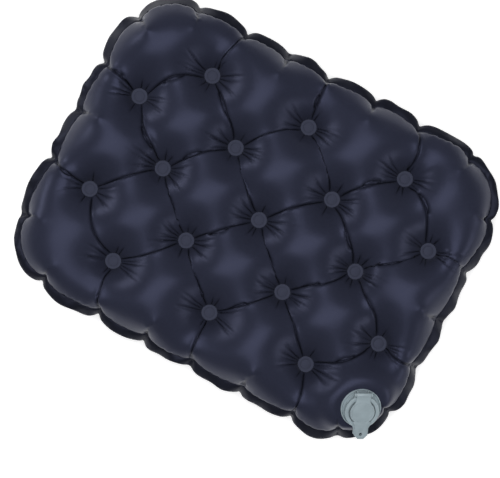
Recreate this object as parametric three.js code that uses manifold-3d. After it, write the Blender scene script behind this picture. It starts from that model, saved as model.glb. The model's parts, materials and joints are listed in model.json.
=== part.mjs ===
// Inflatable camp pillow: two fabric sheets welded together at the rim and at a field of spot welds,
// with a two-layer flap valve near one corner. Millimetres, +Z up, X along the long side.
// The origin is on the ground, under the middle of the pillow.
import * as THREE from "three";
import { mergeVertices } from "three/addons/utils/BufferGeometryUtils.js";
import Module from "manifold-3d";

const wasm = await Module();
wasm.setup();

// Driving dimensions of the pillow
const pillowLength = 420;
const pillowWidth = 320;
const pillowThickness = 64;
const cornerRadius = 75;
const rimWeldWidth = 10;
const rimWeldThickness = 0.9;
const sheetThickness = 0.5;

// Spot welds: staggered rows, counted from the front
const weldsPerRow = [3, 4, 3, 4, 3];
const weldRadius = 7.5;
const weldMarginX = 54;
const weldMarginY = 60;

// Inflated shape
const rimBulgeReach = 55; // how far in from the rim a sheet reaches its full height
const dimpleReach = 51; // how far from a weld's centre a sheet reaches its full height
const dimplePower = 0.8;
const crownShare = 0.96; // a cell's flat crown is this share of the height it would have if round
const crownRadius = 6;

// Valve: place, tilt towards the corner, and turn of its tab, on the top sheet
const valveInsetX = 42.3;
const valveInsetY = 49.4;
const valveTilt = THREE.MathUtils.degToRad(20);
const valveTiltHeading = THREE.MathUtils.degToRad(-40);
const valveTabHeading = THREE.MathUtils.degToRad(-63);
const valveSeatShare = 0.82; // height of the flat seat over the height of the sheet around it
const valveSeatBlend = 22;

// Valve base
const boreRadius = 12.4;
const boreOffset = 1.2; // the bore stands off the flange's centre, to leave room for the hinge
const collarWall = 2.2;
const collarHeight = 3.7; // over the flange
const throatDepth = 5; // into the pillow
const flangeThickness = 1.5;
const flangeMargin = 0.6; // flange past the hinge
const flangeLipWidth = 1;
const flangeLipHeight = 0.5;

// Deflate plug: the lower layer
const plugRingOverhang = 1.6; // past the collar
const plugRingHeight = 2.7;
const plugSkirtWall = 2.6;
const plugSkirtDepth = 8.8;
const plugSkirtTaper = 0.8;
const plugFloorThickness = 1.5;
const portLedge = 1; // the port is this much narrower than the skirt inside
const ventRadius = 2;
const ventCount = 6;

// Inflate cap: the upper layer
const capOverhang = 3.1; // past the port
const capThickness = 1.5;
const capLipWall = 1.2;
const capLipDepth = 2.6;

// Pull tabs
const tabOverhang = 8.5; // past the flange
const tabWidth = 12.6;
const tabThickness = 1.5;
const tabChamfer = 3.6;
const tabHoleRadius = 1.6;
const tabHoleInset = 4.6;
const lowerTabMargin = 0.9; // the lower tab is this much wider on each side

// Hinges
const hingeWidth = 13.3;
const capKnuckleRadius = 2;
const capPinRadius = 0.8;
const capPinForward = 0.6; // in front of the plug's pin
const plugKnuckleRadius = 1.6;
const plugKnuckleWidth = 8.2;
const plugPinRadius = 0.7;
const plugHingeRoom = 1.7; // between the collar and the plug's knuckle
const earThickness = 1.3;

// One-way diaphragm
const diaphragmSeal = 1.2; // past the vents
const diaphragmThickness = 0.8;
const diaphragmTravel = 1.2;
const stemRadius = 0.9;
const stemHeadRadius = 1.9;
const stemHeadHeight = 1.6;

const gap = 0.3; // between pieces that touch
const valveSides = 32;
const pinSides = 16;
const weldSides = 8;
const meshSpacing = 18; // between the points that shape a sheet

// Colours and finishes
const navyFabric = { color: 0x2b2e3e, roughness: 0.5, metalness: 0 };
const weldedFabric = { color: 0x383b49, roughness: 0.45, metalness: 0 };
const greyPlastic = { color: 0x8a979c, roughness: 0.4, metalness: 0 };
const clearSilicone = { color: 0xc9cdd0, roughness: 0.35, metalness: 0 };

// Derived sizes
const middle = pillowThickness / 2;
const sheetFoot = gap / 2; // a sheet's inner face over the middle plane where it is welded
const crownHeight = middle - sheetFoot - sheetThickness;
const collarRadius = boreRadius + collarWall;
// The plug's pin is this far behind the flange's centre
const plugPinBack = collarRadius - boreOffset + plugHingeRoom + gap + plugKnuckleRadius;
const capPinBack = plugPinBack - capPinForward;
const flangeRadius = plugPinBack + plugKnuckleRadius + flangeMargin;
const plugRingRadius = collarRadius + plugRingOverhang;
const skirtRadius = boreRadius - gap;
const skirtInner = skirtRadius - plugSkirtWall;
const portRadius = skirtInner - portLedge;
const capRadius = portRadius + capOverhang;
const ventCircle = (skirtInner + stemRadius) / 2;
const diaphragmRadius = ventCircle + ventRadius + diaphragmSeal;
const tabReach = flangeRadius + tabOverhang; // from the flange's centre

const pillow = new THREE.Group();
pillow.name = "camp_pillow";

function addPart(parent, name, geometry, finish) {
  const mesh = new THREE.Mesh(geometry, new THREE.MeshStandardMaterial(finish));
  mesh.name = name;
  parent.add(mesh);
  return mesh;
}

// ---- Solids: closed geometries that are joined and cut ----

function toSolid(geometry) {
  const bare = geometry.index ? geometry.toNonIndexed() : geometry.clone();
  bare.deleteAttribute("normal");
  bare.deleteAttribute("uv");
  const merged = mergeVertices(bare, 1e-4);
  return new wasm.Manifold(
    new wasm.Mesh({
      numProp: 3,
      vertProperties: merged.attributes.position.array,
      triVerts: new Uint32Array(merged.index.array),
    }),
  );
}

function toGeometry(solid) {
  const mesh = solid.getMesh();
  const geometry = new THREE.BufferGeometry();
  geometry.setAttribute("position", new THREE.BufferAttribute(new Float32Array(mesh.vertProperties), 3));
  geometry.setIndex(new THREE.BufferAttribute(new Uint32Array(mesh.triVerts), 1));
  geometry.computeVertexNormals();
  return geometry;
}

const join = (solids) => solids.reduce((whole, next) => whole.add(next));
const cut = (solid, tools) => tools.reduce((whole, tool) => whole.subtract(tool), solid);

// A body of revolution about Z from [radius, height] pairs, at x
function turned(profile, x = 0, sides = valveSides) {
  const points = profile.map(([radius, height]) => new THREE.Vector2(radius, height));
  const geometry = new THREE.LatheGeometry(points, sides);
  geometry.rotateX(Math.PI / 2);
  geometry.translate(x, 0, 0);
  return toSolid(geometry);
}

// A disc or post along Z
function disc(radius, low, high, x = 0, y = 0, sides = valveSides) {
  const geometry = new THREE.CylinderGeometry(radius, radius, high - low, sides);
  geometry.rotateX(Math.PI / 2);
  geometry.translate(x, y, (low + high) / 2);
  return toSolid(geometry);
}

// A round bar along Y between two places
function bar(radius, from, to, x, z, sides = pinSides) {
  const geometry = new THREE.CylinderGeometry(radius, radius, to - from, sides);
  geometry.translate(x, (from + to) / 2, z);
  return toSolid(geometry);
}

function block([x0, x1], [y0, y1], [z0, z1]) {
  const geometry = new THREE.BoxGeometry(x1 - x0, y1 - y0, z1 - z0);
  geometry.translate((x0 + x1) / 2, (y0 + y1) / 2, (z0 + z1) / 2);
  return toSolid(geometry);
}

// ---- Outline and spot welds ----

// Points round the pillow's outline, or round the same outline moved in by inset, in order.
// Each inset has the same steps, so that outlines at different insets run face to face.
function outline(inset) {
  const points = [];
  const radius = cornerRadius - inset;
  const cornerSteps = Math.max(3, Math.round((cornerRadius * Math.PI) / 2 / meshSpacing));
  const corners = [[1, 1], [-1, 1], [-1, -1], [1, -1]];
  corners.forEach(([sx, sy], quarter) => {
    const cx = sx * (pillowLength / 2 - cornerRadius);
    const cy = sy * (pillowWidth / 2 - cornerRadius);
    for (let i = 0; i <= cornerSteps; i++) {
      const angle = ((quarter + i / cornerSteps) * Math.PI) / 2;
      points.push([cx + radius * Math.cos(angle), cy + radius * Math.sin(angle)]);
    }
    const straight = (quarter % 2 ? pillowWidth : pillowLength) - 2 * cornerRadius;
    const sideSteps = Math.max(2, Math.round(straight / meshSpacing));
    const [startX, startY] = points[points.length - 1];
    for (let i = 1; i < sideSteps; i++) {
      const along = (i / sideSteps) * straight;
      const alongX = quarter % 2 ? 0 : -sx * along;
      const alongY = quarter % 2 ? -sy * along : 0;
      points.push([startX + alongX, startY + alongY]);
    }
  });
  return points;
}

// Distance in from the inflated body's outline, negative outside it
function fromBodyRim(x, y) {
  const qx = Math.abs(x) - (pillowLength / 2 - cornerRadius);
  const qy = Math.abs(y) - (pillowWidth / 2 - cornerRadius);
  const past = Math.hypot(Math.max(qx, 0), Math.max(qy, 0)) + Math.min(Math.max(qx, qy), 0);
  return cornerRadius - rimWeldWidth - past;
}

const longestRow = Math.max(...weldsPerRow);
const weldPitchX = (pillowLength - 2 * weldMarginX) / (longestRow - 1);
const weldPitchY = (pillowWidth - 2 * weldMarginY) / (weldsPerRow.length - 1);
const welds = weldsPerRow.flatMap((count, row) =>
  Array.from({ length: count }, (_, i) => [
    (i - (count - 1) / 2) * weldPitchX,
    (row - (weldsPerRow.length - 1) / 2) * weldPitchY,
  ]),
);

// The crowns lie on the same lattice, between the welds
const crowns = weldsPerRow.flatMap((count, row) =>
  Array.from({ length: count + 1 }, (_, i) => [
    (i - count / 2) * weldPitchX,
    (row - (weldsPerRow.length - 1) / 2) * weldPitchY,
  ]),
);

// ---- Height of the top sheet over the middle plane ----

function pillowHeight(x, y) {
  const fromRim = fromBodyRim(x, y);
  const rimShare = THREE.MathUtils.clamp(fromRim / rimBulgeReach, 0, 1);
  const rise = Math.sqrt(1 - (1 - rimShare) ** 2);
  const fromWeld = Math.min(...welds.map(([wx, wy]) => Math.hypot(x - wx, y - wy)));
  const weldShare = THREE.MathUtils.clamp((fromWeld - weldRadius) / (dimpleReach - weldRadius), 0, 1);
  const dimple = Math.sin((weldShare * Math.PI) / 2) ** dimplePower;
  return crownHeight * Math.min(1, (rise * dimple) / crownShare);
}

// The valve's seat is a flat round facet of the top sheet
const valveX = pillowLength / 2 - valveInsetX;
const valveY = -(pillowWidth / 2 - valveInsetY);
const seatRadius = flangeRadius + gap;
const seatNormal = new THREE.Vector3(
  Math.sin(valveTilt) * Math.cos(valveTiltHeading),
  Math.sin(valveTilt) * Math.sin(valveTiltHeading),
  Math.cos(valveTilt),
);
const seatTab = new THREE.Vector3(Math.cos(valveTabHeading), Math.sin(valveTabHeading), 0);
seatTab.addScaledVector(seatNormal, -seatTab.dot(seatNormal)).normalize();
const seatSide = seatNormal.clone().cross(seatTab);
const seatHeight = valveSeatShare * pillowHeight(valveX, valveY);

function seatPlane(x, y) {
  return seatHeight - ((x - valveX) * seatNormal.x + (y - valveY) * seatNormal.y) / seatNormal.z;
}

function topHeight(x, y) {
  const fromSeat = Math.max(Math.hypot(x - valveX, y - valveY) - seatRadius, 0);
  const fromRim = Math.max(fromBodyRim(x, y), 0);
  const blend = Math.min(valveSeatBlend, fromSeat + fromRim);
  const away = THREE.MathUtils.smoothstep(fromSeat, 0, blend);
  return THREE.MathUtils.lerp(seatPlane(x, y), pillowHeight(x, y), away);
}

// ---- A sheet: points in plan, triangles between them, two faces and the walls that close them ----

// Points round a circle in plan
function ring(cx, cy, radius, count) {
  return Array.from({ length: count }, (_, i) => {
    const angle = (i / count) * 2 * Math.PI;
    return [cx + radius * Math.cos(angle), cy + radius * Math.sin(angle)];
  });
}

// Points round the valve: a circle in the seat's plane, seen in plan
function seatRing(radius, count, offset) {
  return ring(offset, 0, radius, count).map(([along, side]) => [
    valveX + along * seatTab.x + side * seatSide.x,
    valveY + along * seatTab.y + side * seatSide.y,
  ]);
}

const valveHoleRadius = collarRadius + 1.5 * gap;
const valveHole = seatRing(valveHoleRadius, valveSides, boreOffset);

function sheetPoints(hasValve) {
  const points = [];
  const apart = (p, least) => points.every(([x, y]) => Math.hypot(p[0] - x, p[1] - y) >= least);
  const add = (list, least) => list.forEach((p) => apart(p, least) && points.push(p));
  const onValve = (p) => hasValve && Math.hypot(p[0] - valveX, p[1] - valveY) < seatRadius;
  const clear = (p) => fromBodyRim(...p) > meshSpacing / 4 && !onValve(p);
  points.push(...outline(rimWeldWidth));
  welds.forEach(([x, y]) => points.push(...ring(x, y, weldRadius, weldSides)));
  if (hasValve) {
    points.push(...valveHole, ...seatRing(seatRadius, valveSides / 2, 0));
  }
  const shoulder = meshSpacing / 3;
  add(outline(rimWeldWidth + shoulder).filter(clear), shoulder / 2);
  crowns.forEach(([x, y]) => add([[x, y], ...ring(x, y, crownRadius, 6)].filter(clear), crownRadius / 2));
  welds.forEach(([x, y]) => add(ring(x, y, 2.1 * weldRadius, weldSides).filter(clear), crownRadius));
  const rowStep = (meshSpacing * Math.sqrt(3)) / 2;
  const rows = Math.ceil(pillowWidth / rowStep / 2);
  const columns = Math.ceil(pillowLength / meshSpacing / 2);
  for (let row = -rows; row <= rows; row++) {
    for (let column = -columns; column <= columns; column++) {
      const p = [(column + (row % 2 ? 0.5 : 0)) * meshSpacing, row * rowStep];
      if (clear(p)) {
        add([p], 0.62 * meshSpacing);
      }
    }
  }
  return points;
}

// Delaunay triangles of points in plan, added one point at a time
function triangulate(points) {
  const far = 20 * (pillowLength + pillowWidth);
  const all = [...points, [-far, -far], [far, -far], [0, far]];
  const withCircle = (a, b, c) => {
    const [ax, ay] = all[a];
    const bx = all[b][0] - ax;
    const by = all[b][1] - ay;
    const cx = all[c][0] - ax;
    const cy = all[c][1] - ay;
    const twice = 2 * (bx * cy - by * cx);
    const ux = (cy * (bx * bx + by * by) - by * (cx * cx + cy * cy)) / twice;
    const uy = (bx * (cx * cx + cy * cy) - cx * (bx * bx + by * by)) / twice;
    return { corners: twice > 0 ? [a, b, c] : [a, c, b], x: ax + ux, y: ay + uy, reach: Math.hypot(ux, uy) };
  };
  let triangles = [withCircle(points.length, points.length + 1, points.length + 2)];
  points.forEach(([x, y], index) => {
    const holds = (t) => Math.hypot(x - t.x, y - t.y) < t.reach - 1e-7;
    const opened = triangles.filter(holds);
    const edges = new Map();
    opened.forEach(({ corners }) =>
      corners.forEach((from, i) => {
        const to = corners[(i + 1) % 3];
        if (edges.has(to + "," + from)) {
          edges.delete(to + "," + from);
        } else {
          edges.set(from + "," + to, [from, to]);
        }
      }),
    );
    triangles = triangles.filter((t) => !holds(t));
    edges.forEach(([from, to]) => triangles.push(withCircle(from, to, index)));
  });
  return triangles.map((t) => t.corners).filter((corners) => Math.max(...corners) < points.length);
}

// A point's side of a closed loop of points in plan
function within(loop, x, y) {
  let inside = false;
  loop.forEach(([x0, y0], i) => {
    const [x1, y1] = loop[(i + 1) % loop.length];
    if (y0 > y !== y1 > y && x < x0 + ((y - y0) / (y1 - y0)) * (x1 - x0)) {
      inside = !inside;
    }
  });
  return inside;
}

// side is 1 for the top sheet and -1 for the bottom one
function sheetGeometry(side, heightAt, hasValve) {
  const points = sheetPoints(hasValve);
  const holes = welds.map(([x, y]) => ring(x, y, weldRadius, weldSides));
  if (hasValve) {
    holes.push(valveHole);
  }
  const kept = triangulate(points).filter((corners) => {
    const x = corners.reduce((sum, i) => sum + points[i][0], 0) / 3;
    const y = corners.reduce((sum, i) => sum + points[i][1], 0) / 3;
    return !holes.some((loop) => within(loop, x, y));
  });
  const inner = points.map(([x, y]) => [x, y, middle + side * (sheetFoot + heightAt(x, y))]);
  const outer = inner.map(([x, y, z]) => [x, y, z + side * sheetThickness]);
  const vertices = [...outer, ...inner];
  const under = (i) => i + points.length;
  const faces = [];
  const addFace = (a, b, c) => faces.push(side > 0 ? [a, b, c] : [a, c, b]);
  const edges = new Map();
  kept.forEach(([a, b, c]) => {
    addFace(a, b, c);
    addFace(under(a), under(c), under(b));
    [[a, b], [b, c], [c, a]].forEach(([from, to]) => {
      if (edges.has(to + "," + from)) {
        edges.delete(to + "," + from);
      } else {
        edges.set(from + "," + to, [from, to]);
      }
    });
  });
  edges.forEach(([from, to]) => {
    addFace(from, under(from), to);
    addFace(to, under(from), under(to));
  });
  const geometry = new THREE.BufferGeometry();
  geometry.setAttribute("position", new THREE.Float32BufferAttribute(vertices.flat(), 3));
  geometry.setIndex(faces.flat());
  geometry.computeVertexNormals();
  return geometry;
}

addPart(pillow, "top_panel", sheetGeometry(1, topHeight, true), navyFabric);
addPart(pillow, "bottom_panel", sheetGeometry(-1, pillowHeight, false), navyFabric);

// ---- Rim weld: the flat band where both sheets are fused ----

function rimWeld() {
  const toShape = (points) => points.map(([x, y]) => new THREE.Vector2(x, y));
  const shape = new THREE.Shape(toShape(outline(0)));
  shape.holes.push(new THREE.Path(toShape(outline(rimWeldWidth - gap))));
  const geometry = new THREE.ExtrudeGeometry(shape, { depth: rimWeldThickness, bevelEnabled: false });
  geometry.translate(0, 0, middle - rimWeldThickness / 2);
  return geometry;
}

addPart(pillow, "rim_weld", rimWeld(), weldedFabric);

// ---- Spot welds: a fused disc through both sheets ----

welds.forEach(([x, y], i) => {
  const inset = gap / Math.cos(Math.PI / weldSides);
  const thickness = 2 * (sheetFoot + sheetThickness);
  const geometry = new THREE.CylinderGeometry(weldRadius - inset, weldRadius - inset, thickness, weldSides);
  geometry.rotateX(Math.PI / 2);
  geometry.rotateZ(Math.PI / 2);
  const number = String(i + 1).padStart(2, "0");
  const spot = addPart(pillow, "weld_spot_" + number, geometry, weldedFabric);
  spot.position.set(x, y, middle);
});

// ---- Valve, in its own frame: +Z out of the sheet, +X towards the tab ----

const valve = new THREE.Group();
valve.name = "valve";
valve.quaternion.setFromRotationMatrix(new THREE.Matrix4().makeBasis(seatTab, seatSide, seatNormal));
valve.position.set(valveX, valveY, middle + sheetFoot + sheetThickness + seatHeight);
pillow.add(valve);

// Heights in the valve's frame
const flangeLow = gap;
const flangeHigh = flangeLow + flangeThickness;
const collarHigh = flangeHigh + collarHeight;
const ringLow = collarHigh + gap;
const ringHigh = ringLow + plugRingHeight;
const skirtLow = ringLow - plugSkirtDepth;
const capLow = ringHigh + gap;
const capHigh = capLow + capThickness;
const plugPinHeight = flangeHigh + gap + plugKnuckleRadius + gap / 2;
const capPinHeight = capHigh - capKnuckleRadius + capThickness / 2;
const plugEarInner = plugKnuckleWidth / 2 + gap;
const capEarInner = hingeWidth / 2 + gap;

// A pair of ears that hold a pin, with a foot that reaches down to what carries them
function ears(inner, radius, back, pinHeight, footFront, footLow) {
  const pair = [-1, 1].map((side) => {
    const from = side > 0 ? inner : -inner - earThickness;
    const eye = bar(radius, from, from + earThickness, -back, pinHeight);
    const foot = block([-back - radius, footFront], [from, from + earThickness], [footLow, pinHeight]);
    return eye.add(foot);
  });
  return join(pair);
}

function valveBase() {
  const lipInner = flangeRadius - flangeLipWidth;
  const lipHigh = flangeHigh + flangeLipHeight;
  const flange = turned([
    [0, flangeLow],
    [flangeRadius, flangeLow],
    [flangeRadius, lipHigh],
    [lipInner, lipHigh],
    [lipInner, flangeHigh],
    [0, flangeHigh],
  ]);
  const collar = disc(collarRadius, -throatDepth, collarHigh, boreOffset);
  const hingeEars = ears(
    plugEarInner, plugKnuckleRadius, plugPinBack, plugPinHeight, -plugPinBack + plugKnuckleRadius, flangeLow,
  );
  const bore = disc(boreRadius, -throatDepth - 1, collarHigh + 1, boreOffset);
  const pinHole = bar(plugPinRadius + gap, -hingeWidth, hingeWidth, -plugPinBack, plugPinHeight);
  return cut(join([flange, collar, hingeEars]), [bore, pinHole]);
}

// A pull tab from the middle of the valve to its chamfered end, with a hole for a finger loop
function pullTab(margin, low) {
  const half = tabWidth / 2 + margin;
  const end = tabReach - margin;
  const shape = new THREE.Shape([
    new THREE.Vector2(portRadius + 1, -half),
    new THREE.Vector2(end - tabChamfer, -half),
    new THREE.Vector2(end, -half + tabChamfer),
    new THREE.Vector2(end, half - tabChamfer),
    new THREE.Vector2(end - tabChamfer, half),
    new THREE.Vector2(portRadius + 1, half),
  ]);
  const hole = new THREE.Path();
  hole.absarc(tabReach - tabHoleInset, 0, tabHoleRadius, 0, 2 * Math.PI);
  shape.holes.push(hole);
  const extrusion = { depth: tabThickness, bevelEnabled: false, curveSegments: 6 };
  const geometry = new THREE.ExtrudeGeometry(shape, extrusion);
  geometry.translate(0, 0, low);
  return toSolid(geometry);
}

function deflatePlug() {
  const floorHigh = skirtLow + plugFloorThickness;
  const taperHigh = (skirtLow + ringLow) / 2;
  const body = turned([
    [0, skirtLow],
    [skirtRadius - plugSkirtTaper, skirtLow],
    [skirtRadius, taperHigh],
    [skirtRadius, ringLow],
    [plugRingRadius, ringLow],
    [plugRingRadius, ringHigh],
    [portRadius, ringHigh],
    [portRadius, ringLow],
    [skirtInner, ringLow],
    [skirtInner, floorHigh],
    [0, floorHigh],
  ], boreOffset);
  const knuckle = bar(
    plugKnuckleRadius, -plugKnuckleWidth / 2, plugKnuckleWidth / 2, -plugPinBack, plugPinHeight,
  );
  const strap = block(
    [-plugPinBack - plugKnuckleRadius, boreOffset - collarRadius - gap],
    [-plugKnuckleWidth / 2, plugKnuckleWidth / 2],
    [plugPinHeight, ringHigh],
  );
  const hingeEars = ears(
    capEarInner, capKnuckleRadius, capPinBack, capPinHeight, boreOffset - boreRadius, ringLow,
  );
  const knuckleRoom = bar(capKnuckleRadius + gap, -capEarInner, capEarInner, -capPinBack, capPinHeight);
  const capPinHole = bar(capPinRadius + gap, -hingeWidth, hingeWidth, -capPinBack, capPinHeight);
  const plugPinHole = bar(plugPinRadius + gap, -hingeWidth, hingeWidth, -plugPinBack, plugPinHeight);
  const vents = ring(boreOffset, 0, ventCircle, ventCount).map(([x, y]) =>
    disc(ventRadius, skirtLow - 1, floorHigh + 1, x, y, pinSides),
  );
  const stemHole = disc(stemRadius + gap, skirtLow - 1, floorHigh + 1, boreOffset, 0, pinSides);
  const tabLow = ringHigh - tabThickness - gap;
  const tab = cut(pullTab(lowerTabMargin, tabLow), [disc(skirtRadius, tabLow - 1, ringHigh + 1, boreOffset)]);
  const whole = join([body, knuckle, strap, hingeEars, tab]);
  return cut(whole, [knuckleRoom, capPinHole, plugPinHole, stemHole, ...vents]);
}

function inflateCap() {
  const lipRadius = portRadius - gap;
  const top = disc(capRadius, capLow, capHigh, boreOffset);
  const lip = disc(lipRadius, capLow - capLipDepth, capLow + gap, boreOffset);
  const lipHollow = disc(lipRadius - capLipWall, capLow - capLipDepth - 1, capLow, boreOffset);
  const strap = block([-capPinBack, boreOffset], [-hingeWidth / 2, hingeWidth / 2], [capLow, capHigh]);
  const knuckle = bar(capKnuckleRadius, -hingeWidth / 2, hingeWidth / 2, -capPinBack, capPinHeight);
  const tab = pullTab(0, capLow);
  const pinHole = bar(capPinRadius + gap, -hingeWidth, hingeWidth, -capPinBack, capPinHeight);
  return cut(join([top, lip, strap, knuckle, tab]), [lipHollow, pinHole]);
}

// A thin disc under the plug's floor, held by a stem whose head is above the floor
function diaphragm() {
  const faceHigh = skirtLow - gap;
  const headLow = skirtLow + plugFloorThickness + gap + diaphragmTravel;
  const headHigh = headLow + stemHeadHeight;
  return turned([
    [0, faceHigh - diaphragmThickness],
    [diaphragmRadius, faceHigh - diaphragmThickness],
    [diaphragmRadius, faceHigh],
    [stemRadius, faceHigh],
    [stemRadius, headLow],
    [stemHeadRadius, headLow],
    [stemRadius, headHigh],
    [0, headHigh],
  ], boreOffset, 24);
}

const plugPinHalf = plugEarInner + earThickness;
const capPinHalf = capEarInner + earThickness;
addPart(valve, "valve_base", toGeometry(valveBase()), greyPlastic);
addPart(valve, "deflate_plug", toGeometry(deflatePlug()), greyPlastic);
addPart(valve, "inflate_cap", toGeometry(inflateCap()), greyPlastic);
addPart(valve, "check_diaphragm", toGeometry(diaphragm()), clearSilicone);
addPart(
  valve,
  "plug_hinge_pin",
  toGeometry(bar(plugPinRadius, -plugPinHalf, plugPinHalf, -plugPinBack, plugPinHeight)),
  greyPlastic,
);
addPart(
  valve,
  "cap_hinge_pin",
  toGeometry(bar(capPinRadius, -capPinHalf, capPinHalf, -capPinBack, capPinHeight)),
  greyPlastic,
);

export default pillow;
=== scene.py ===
"""Inflatable camp pillow: two coated fabric sheets welded at the rim and at a field of spot welds,
with a two-layer flap valve near one corner. Metres, +Z up, X along the long side."""

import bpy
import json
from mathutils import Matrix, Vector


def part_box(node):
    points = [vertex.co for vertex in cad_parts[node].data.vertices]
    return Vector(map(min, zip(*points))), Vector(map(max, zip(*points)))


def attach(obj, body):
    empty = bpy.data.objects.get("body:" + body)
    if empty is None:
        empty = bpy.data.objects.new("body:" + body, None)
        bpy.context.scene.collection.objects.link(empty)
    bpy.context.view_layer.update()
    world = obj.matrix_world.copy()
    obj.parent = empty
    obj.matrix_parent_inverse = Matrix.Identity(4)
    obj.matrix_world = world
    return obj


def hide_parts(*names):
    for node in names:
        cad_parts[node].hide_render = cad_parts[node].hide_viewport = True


bl_info = {
    "name": "Inflatable Camp Pillow",
    "version": (1, 0, 0),
    "blender": (4, 5, 0),
    "location": "3D View > Sidebar > Camp Pillow",
    "description": "Builds a quilted inflatable camp pillow with a two-layer flap valve",
    "category": "Add Mesh",
}

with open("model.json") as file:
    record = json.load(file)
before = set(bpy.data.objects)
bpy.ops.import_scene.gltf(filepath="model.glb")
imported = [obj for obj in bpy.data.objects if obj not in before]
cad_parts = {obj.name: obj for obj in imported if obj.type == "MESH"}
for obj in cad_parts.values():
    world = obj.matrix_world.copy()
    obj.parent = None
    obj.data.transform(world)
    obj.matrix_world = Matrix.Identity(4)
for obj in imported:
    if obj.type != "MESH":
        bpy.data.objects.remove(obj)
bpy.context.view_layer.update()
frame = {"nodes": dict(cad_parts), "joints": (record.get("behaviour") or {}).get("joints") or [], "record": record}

import json
import math

import bmesh
import bpy
import numpy as np
from bpy.props import FloatProperty, FloatVectorProperty, IntProperty, PointerProperty
from mathutils import Matrix, Vector, geometry

MM = 0.001
TOUCHING = 0.001 * MM  # points this close to a line count as on it
SIMULATION_SCALE = 10.0  # the cloth solver likes a model ten times its real size
WELD_NAMES = sorted(name for name in frame["nodes"] if name.startswith("weld_spot"))
rim_low, rim_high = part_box("rim_weld")
MID_HEIGHT = (rim_low.z + rim_high.z) / 2
inflated = {}  # what the cloth simulation leaves for the operators after it

# The valve's sizes, in millimetres, in its own frame
BORE_OFFSET = 1.2  # the bore's middle, in front of the flange's
PLUG_PIN = (-17.0, 3.85)  # where the two hinge pins are, back from the middle and over the fabric
CAP_PIN = (-16.4, 9.05)
RING_LOW, RING_HIGH = 5.8, 8.5
CAP_LOW, CAP_HIGH = 8.8, 10.3
FLOOR_HIGH = -1.5  # the top of the floor inside the plug
PLUG_KNUCKLE = 4.1  # half the width of the plug's knuckle
CAP_STRAP = 13.3 / 2  # half the width of the cap's strap
EAR_GAP = 0.3  # between a knuckle and the ears beside it
EAR_THICKNESS = 1.3
TAB_REACH = 27.7  # from the valve's middle to the end of the upper tab
TAB_THICKNESS = 1.5
TAB_HOLE_RADIUS = 1.6
TAB_HOLE_BACK = 4.6  # the hole's middle, back from the tab's end
PAST = 1  # how far a cut runs past what it cuts


def record_colour(slot, share=1.0):
    """The record's base colour for a material slot, made lighter or darker by a share."""
    for material in frame["record"]["materials"]:
        if material["slot"] == slot:
            return tuple(share * value for value in material["base_color"][:3])
    raise KeyError(slot)


# ---- Settings ----


class QuiltSettings(bpy.types.PropertyGroup):
    """Sizes of the fabric and how it is inflated."""

    corner_radius: FloatProperty(
        name="Corner radius", description="Radius of the pillow's corners at the rim's outer edge",
        default=0.075, unit="LENGTH")
    rim_width: FloatProperty(
        name="Rim width", description="Width of the welded rim", default=0.010, unit="LENGTH")
    weld_radius: FloatProperty(
        name="Weld radius", description="Radius of each spot weld", default=0.0075, unit="LENGTH")
    fabric_thickness: FloatProperty(
        name="Fabric thickness", description="Thickness of one coated sheet", default=0.0004, unit="LENGTH")
    cloth_step: FloatProperty(
        name="Cloth spacing", description="Distance between points of the cloth",
        default=0.0028, unit="LENGTH")
    weld_step: FloatProperty(
        name="Spacing at welds", description="Distance between points of the cloth near a weld",
        default=0.0020, unit="LENGTH")
    spare_fabric: FloatProperty(
        name="Spare fabric", description="How much longer the cut fabric is than the inflated pillow",
        default=0.16, subtype="FACTOR")
    spare_rim: FloatProperty(
        name="Spare rim", description="How much longer the cut rim is than the inflated rim",
        default=0.06, subtype="FACTOR")
    pressure: FloatProperty(
        name="Pressure", description="Air pressure that the cloth solver uses", default=30.0)
    frames: IntProperty(
        name="Frames", description="Steps of the inflation", default=60)
    crease_bow: FloatProperty(
        name="Crease bow", description="How far a crease bows sideways between two welds",
        default=0.0045, unit="LENGTH")
    rim_droop: FloatProperty(
        name="Rim droop", description="How far the rim's outer edge hangs", default=0.0055, unit="LENGTH")
    rim_ruffle: FloatProperty(
        name="Rim ruffle", description="How far the rim waves up and down", default=0.0024, unit="LENGTH")
    pucker: FloatProperty(
        name="Pucker", description="How far the edge is drawn in where a crease or a pucker reaches it",
        default=0.0070, unit="LENGTH")
    scallop: FloatProperty(
        name="Scallop",
        description="How far the edge bulges between two creases, as a share of their spacing",
        default=0.085, subtype="FACTOR")
    edge_inset: FloatProperty(
        name="Edge inset", description="How far inflation draws the seam in", default=0.0055, unit="LENGTH")
    cheek: FloatProperty(
        name="Cheek", description="How far the sheets puff out over the rim", default=0.0045, unit="LENGTH")
    notch_reach: FloatProperty(
        name="Notch reach", description="How far along the seam a notch reaches", default=0.0045,
        unit="LENGTH")
    crease_depth: FloatProperty(
        name="Crease depth", description="Depth of the sharp fold along a crease",
        default=0.0036, unit="LENGTH")
    wrinkle_depth: FloatProperty(
        name="Wrinkle depth", description="Depth of the short wrinkles round a weld",
        default=0.0016, unit="LENGTH")
    seed: IntProperty(name="Seed", description="Start of the random choices", default=4)


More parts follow.
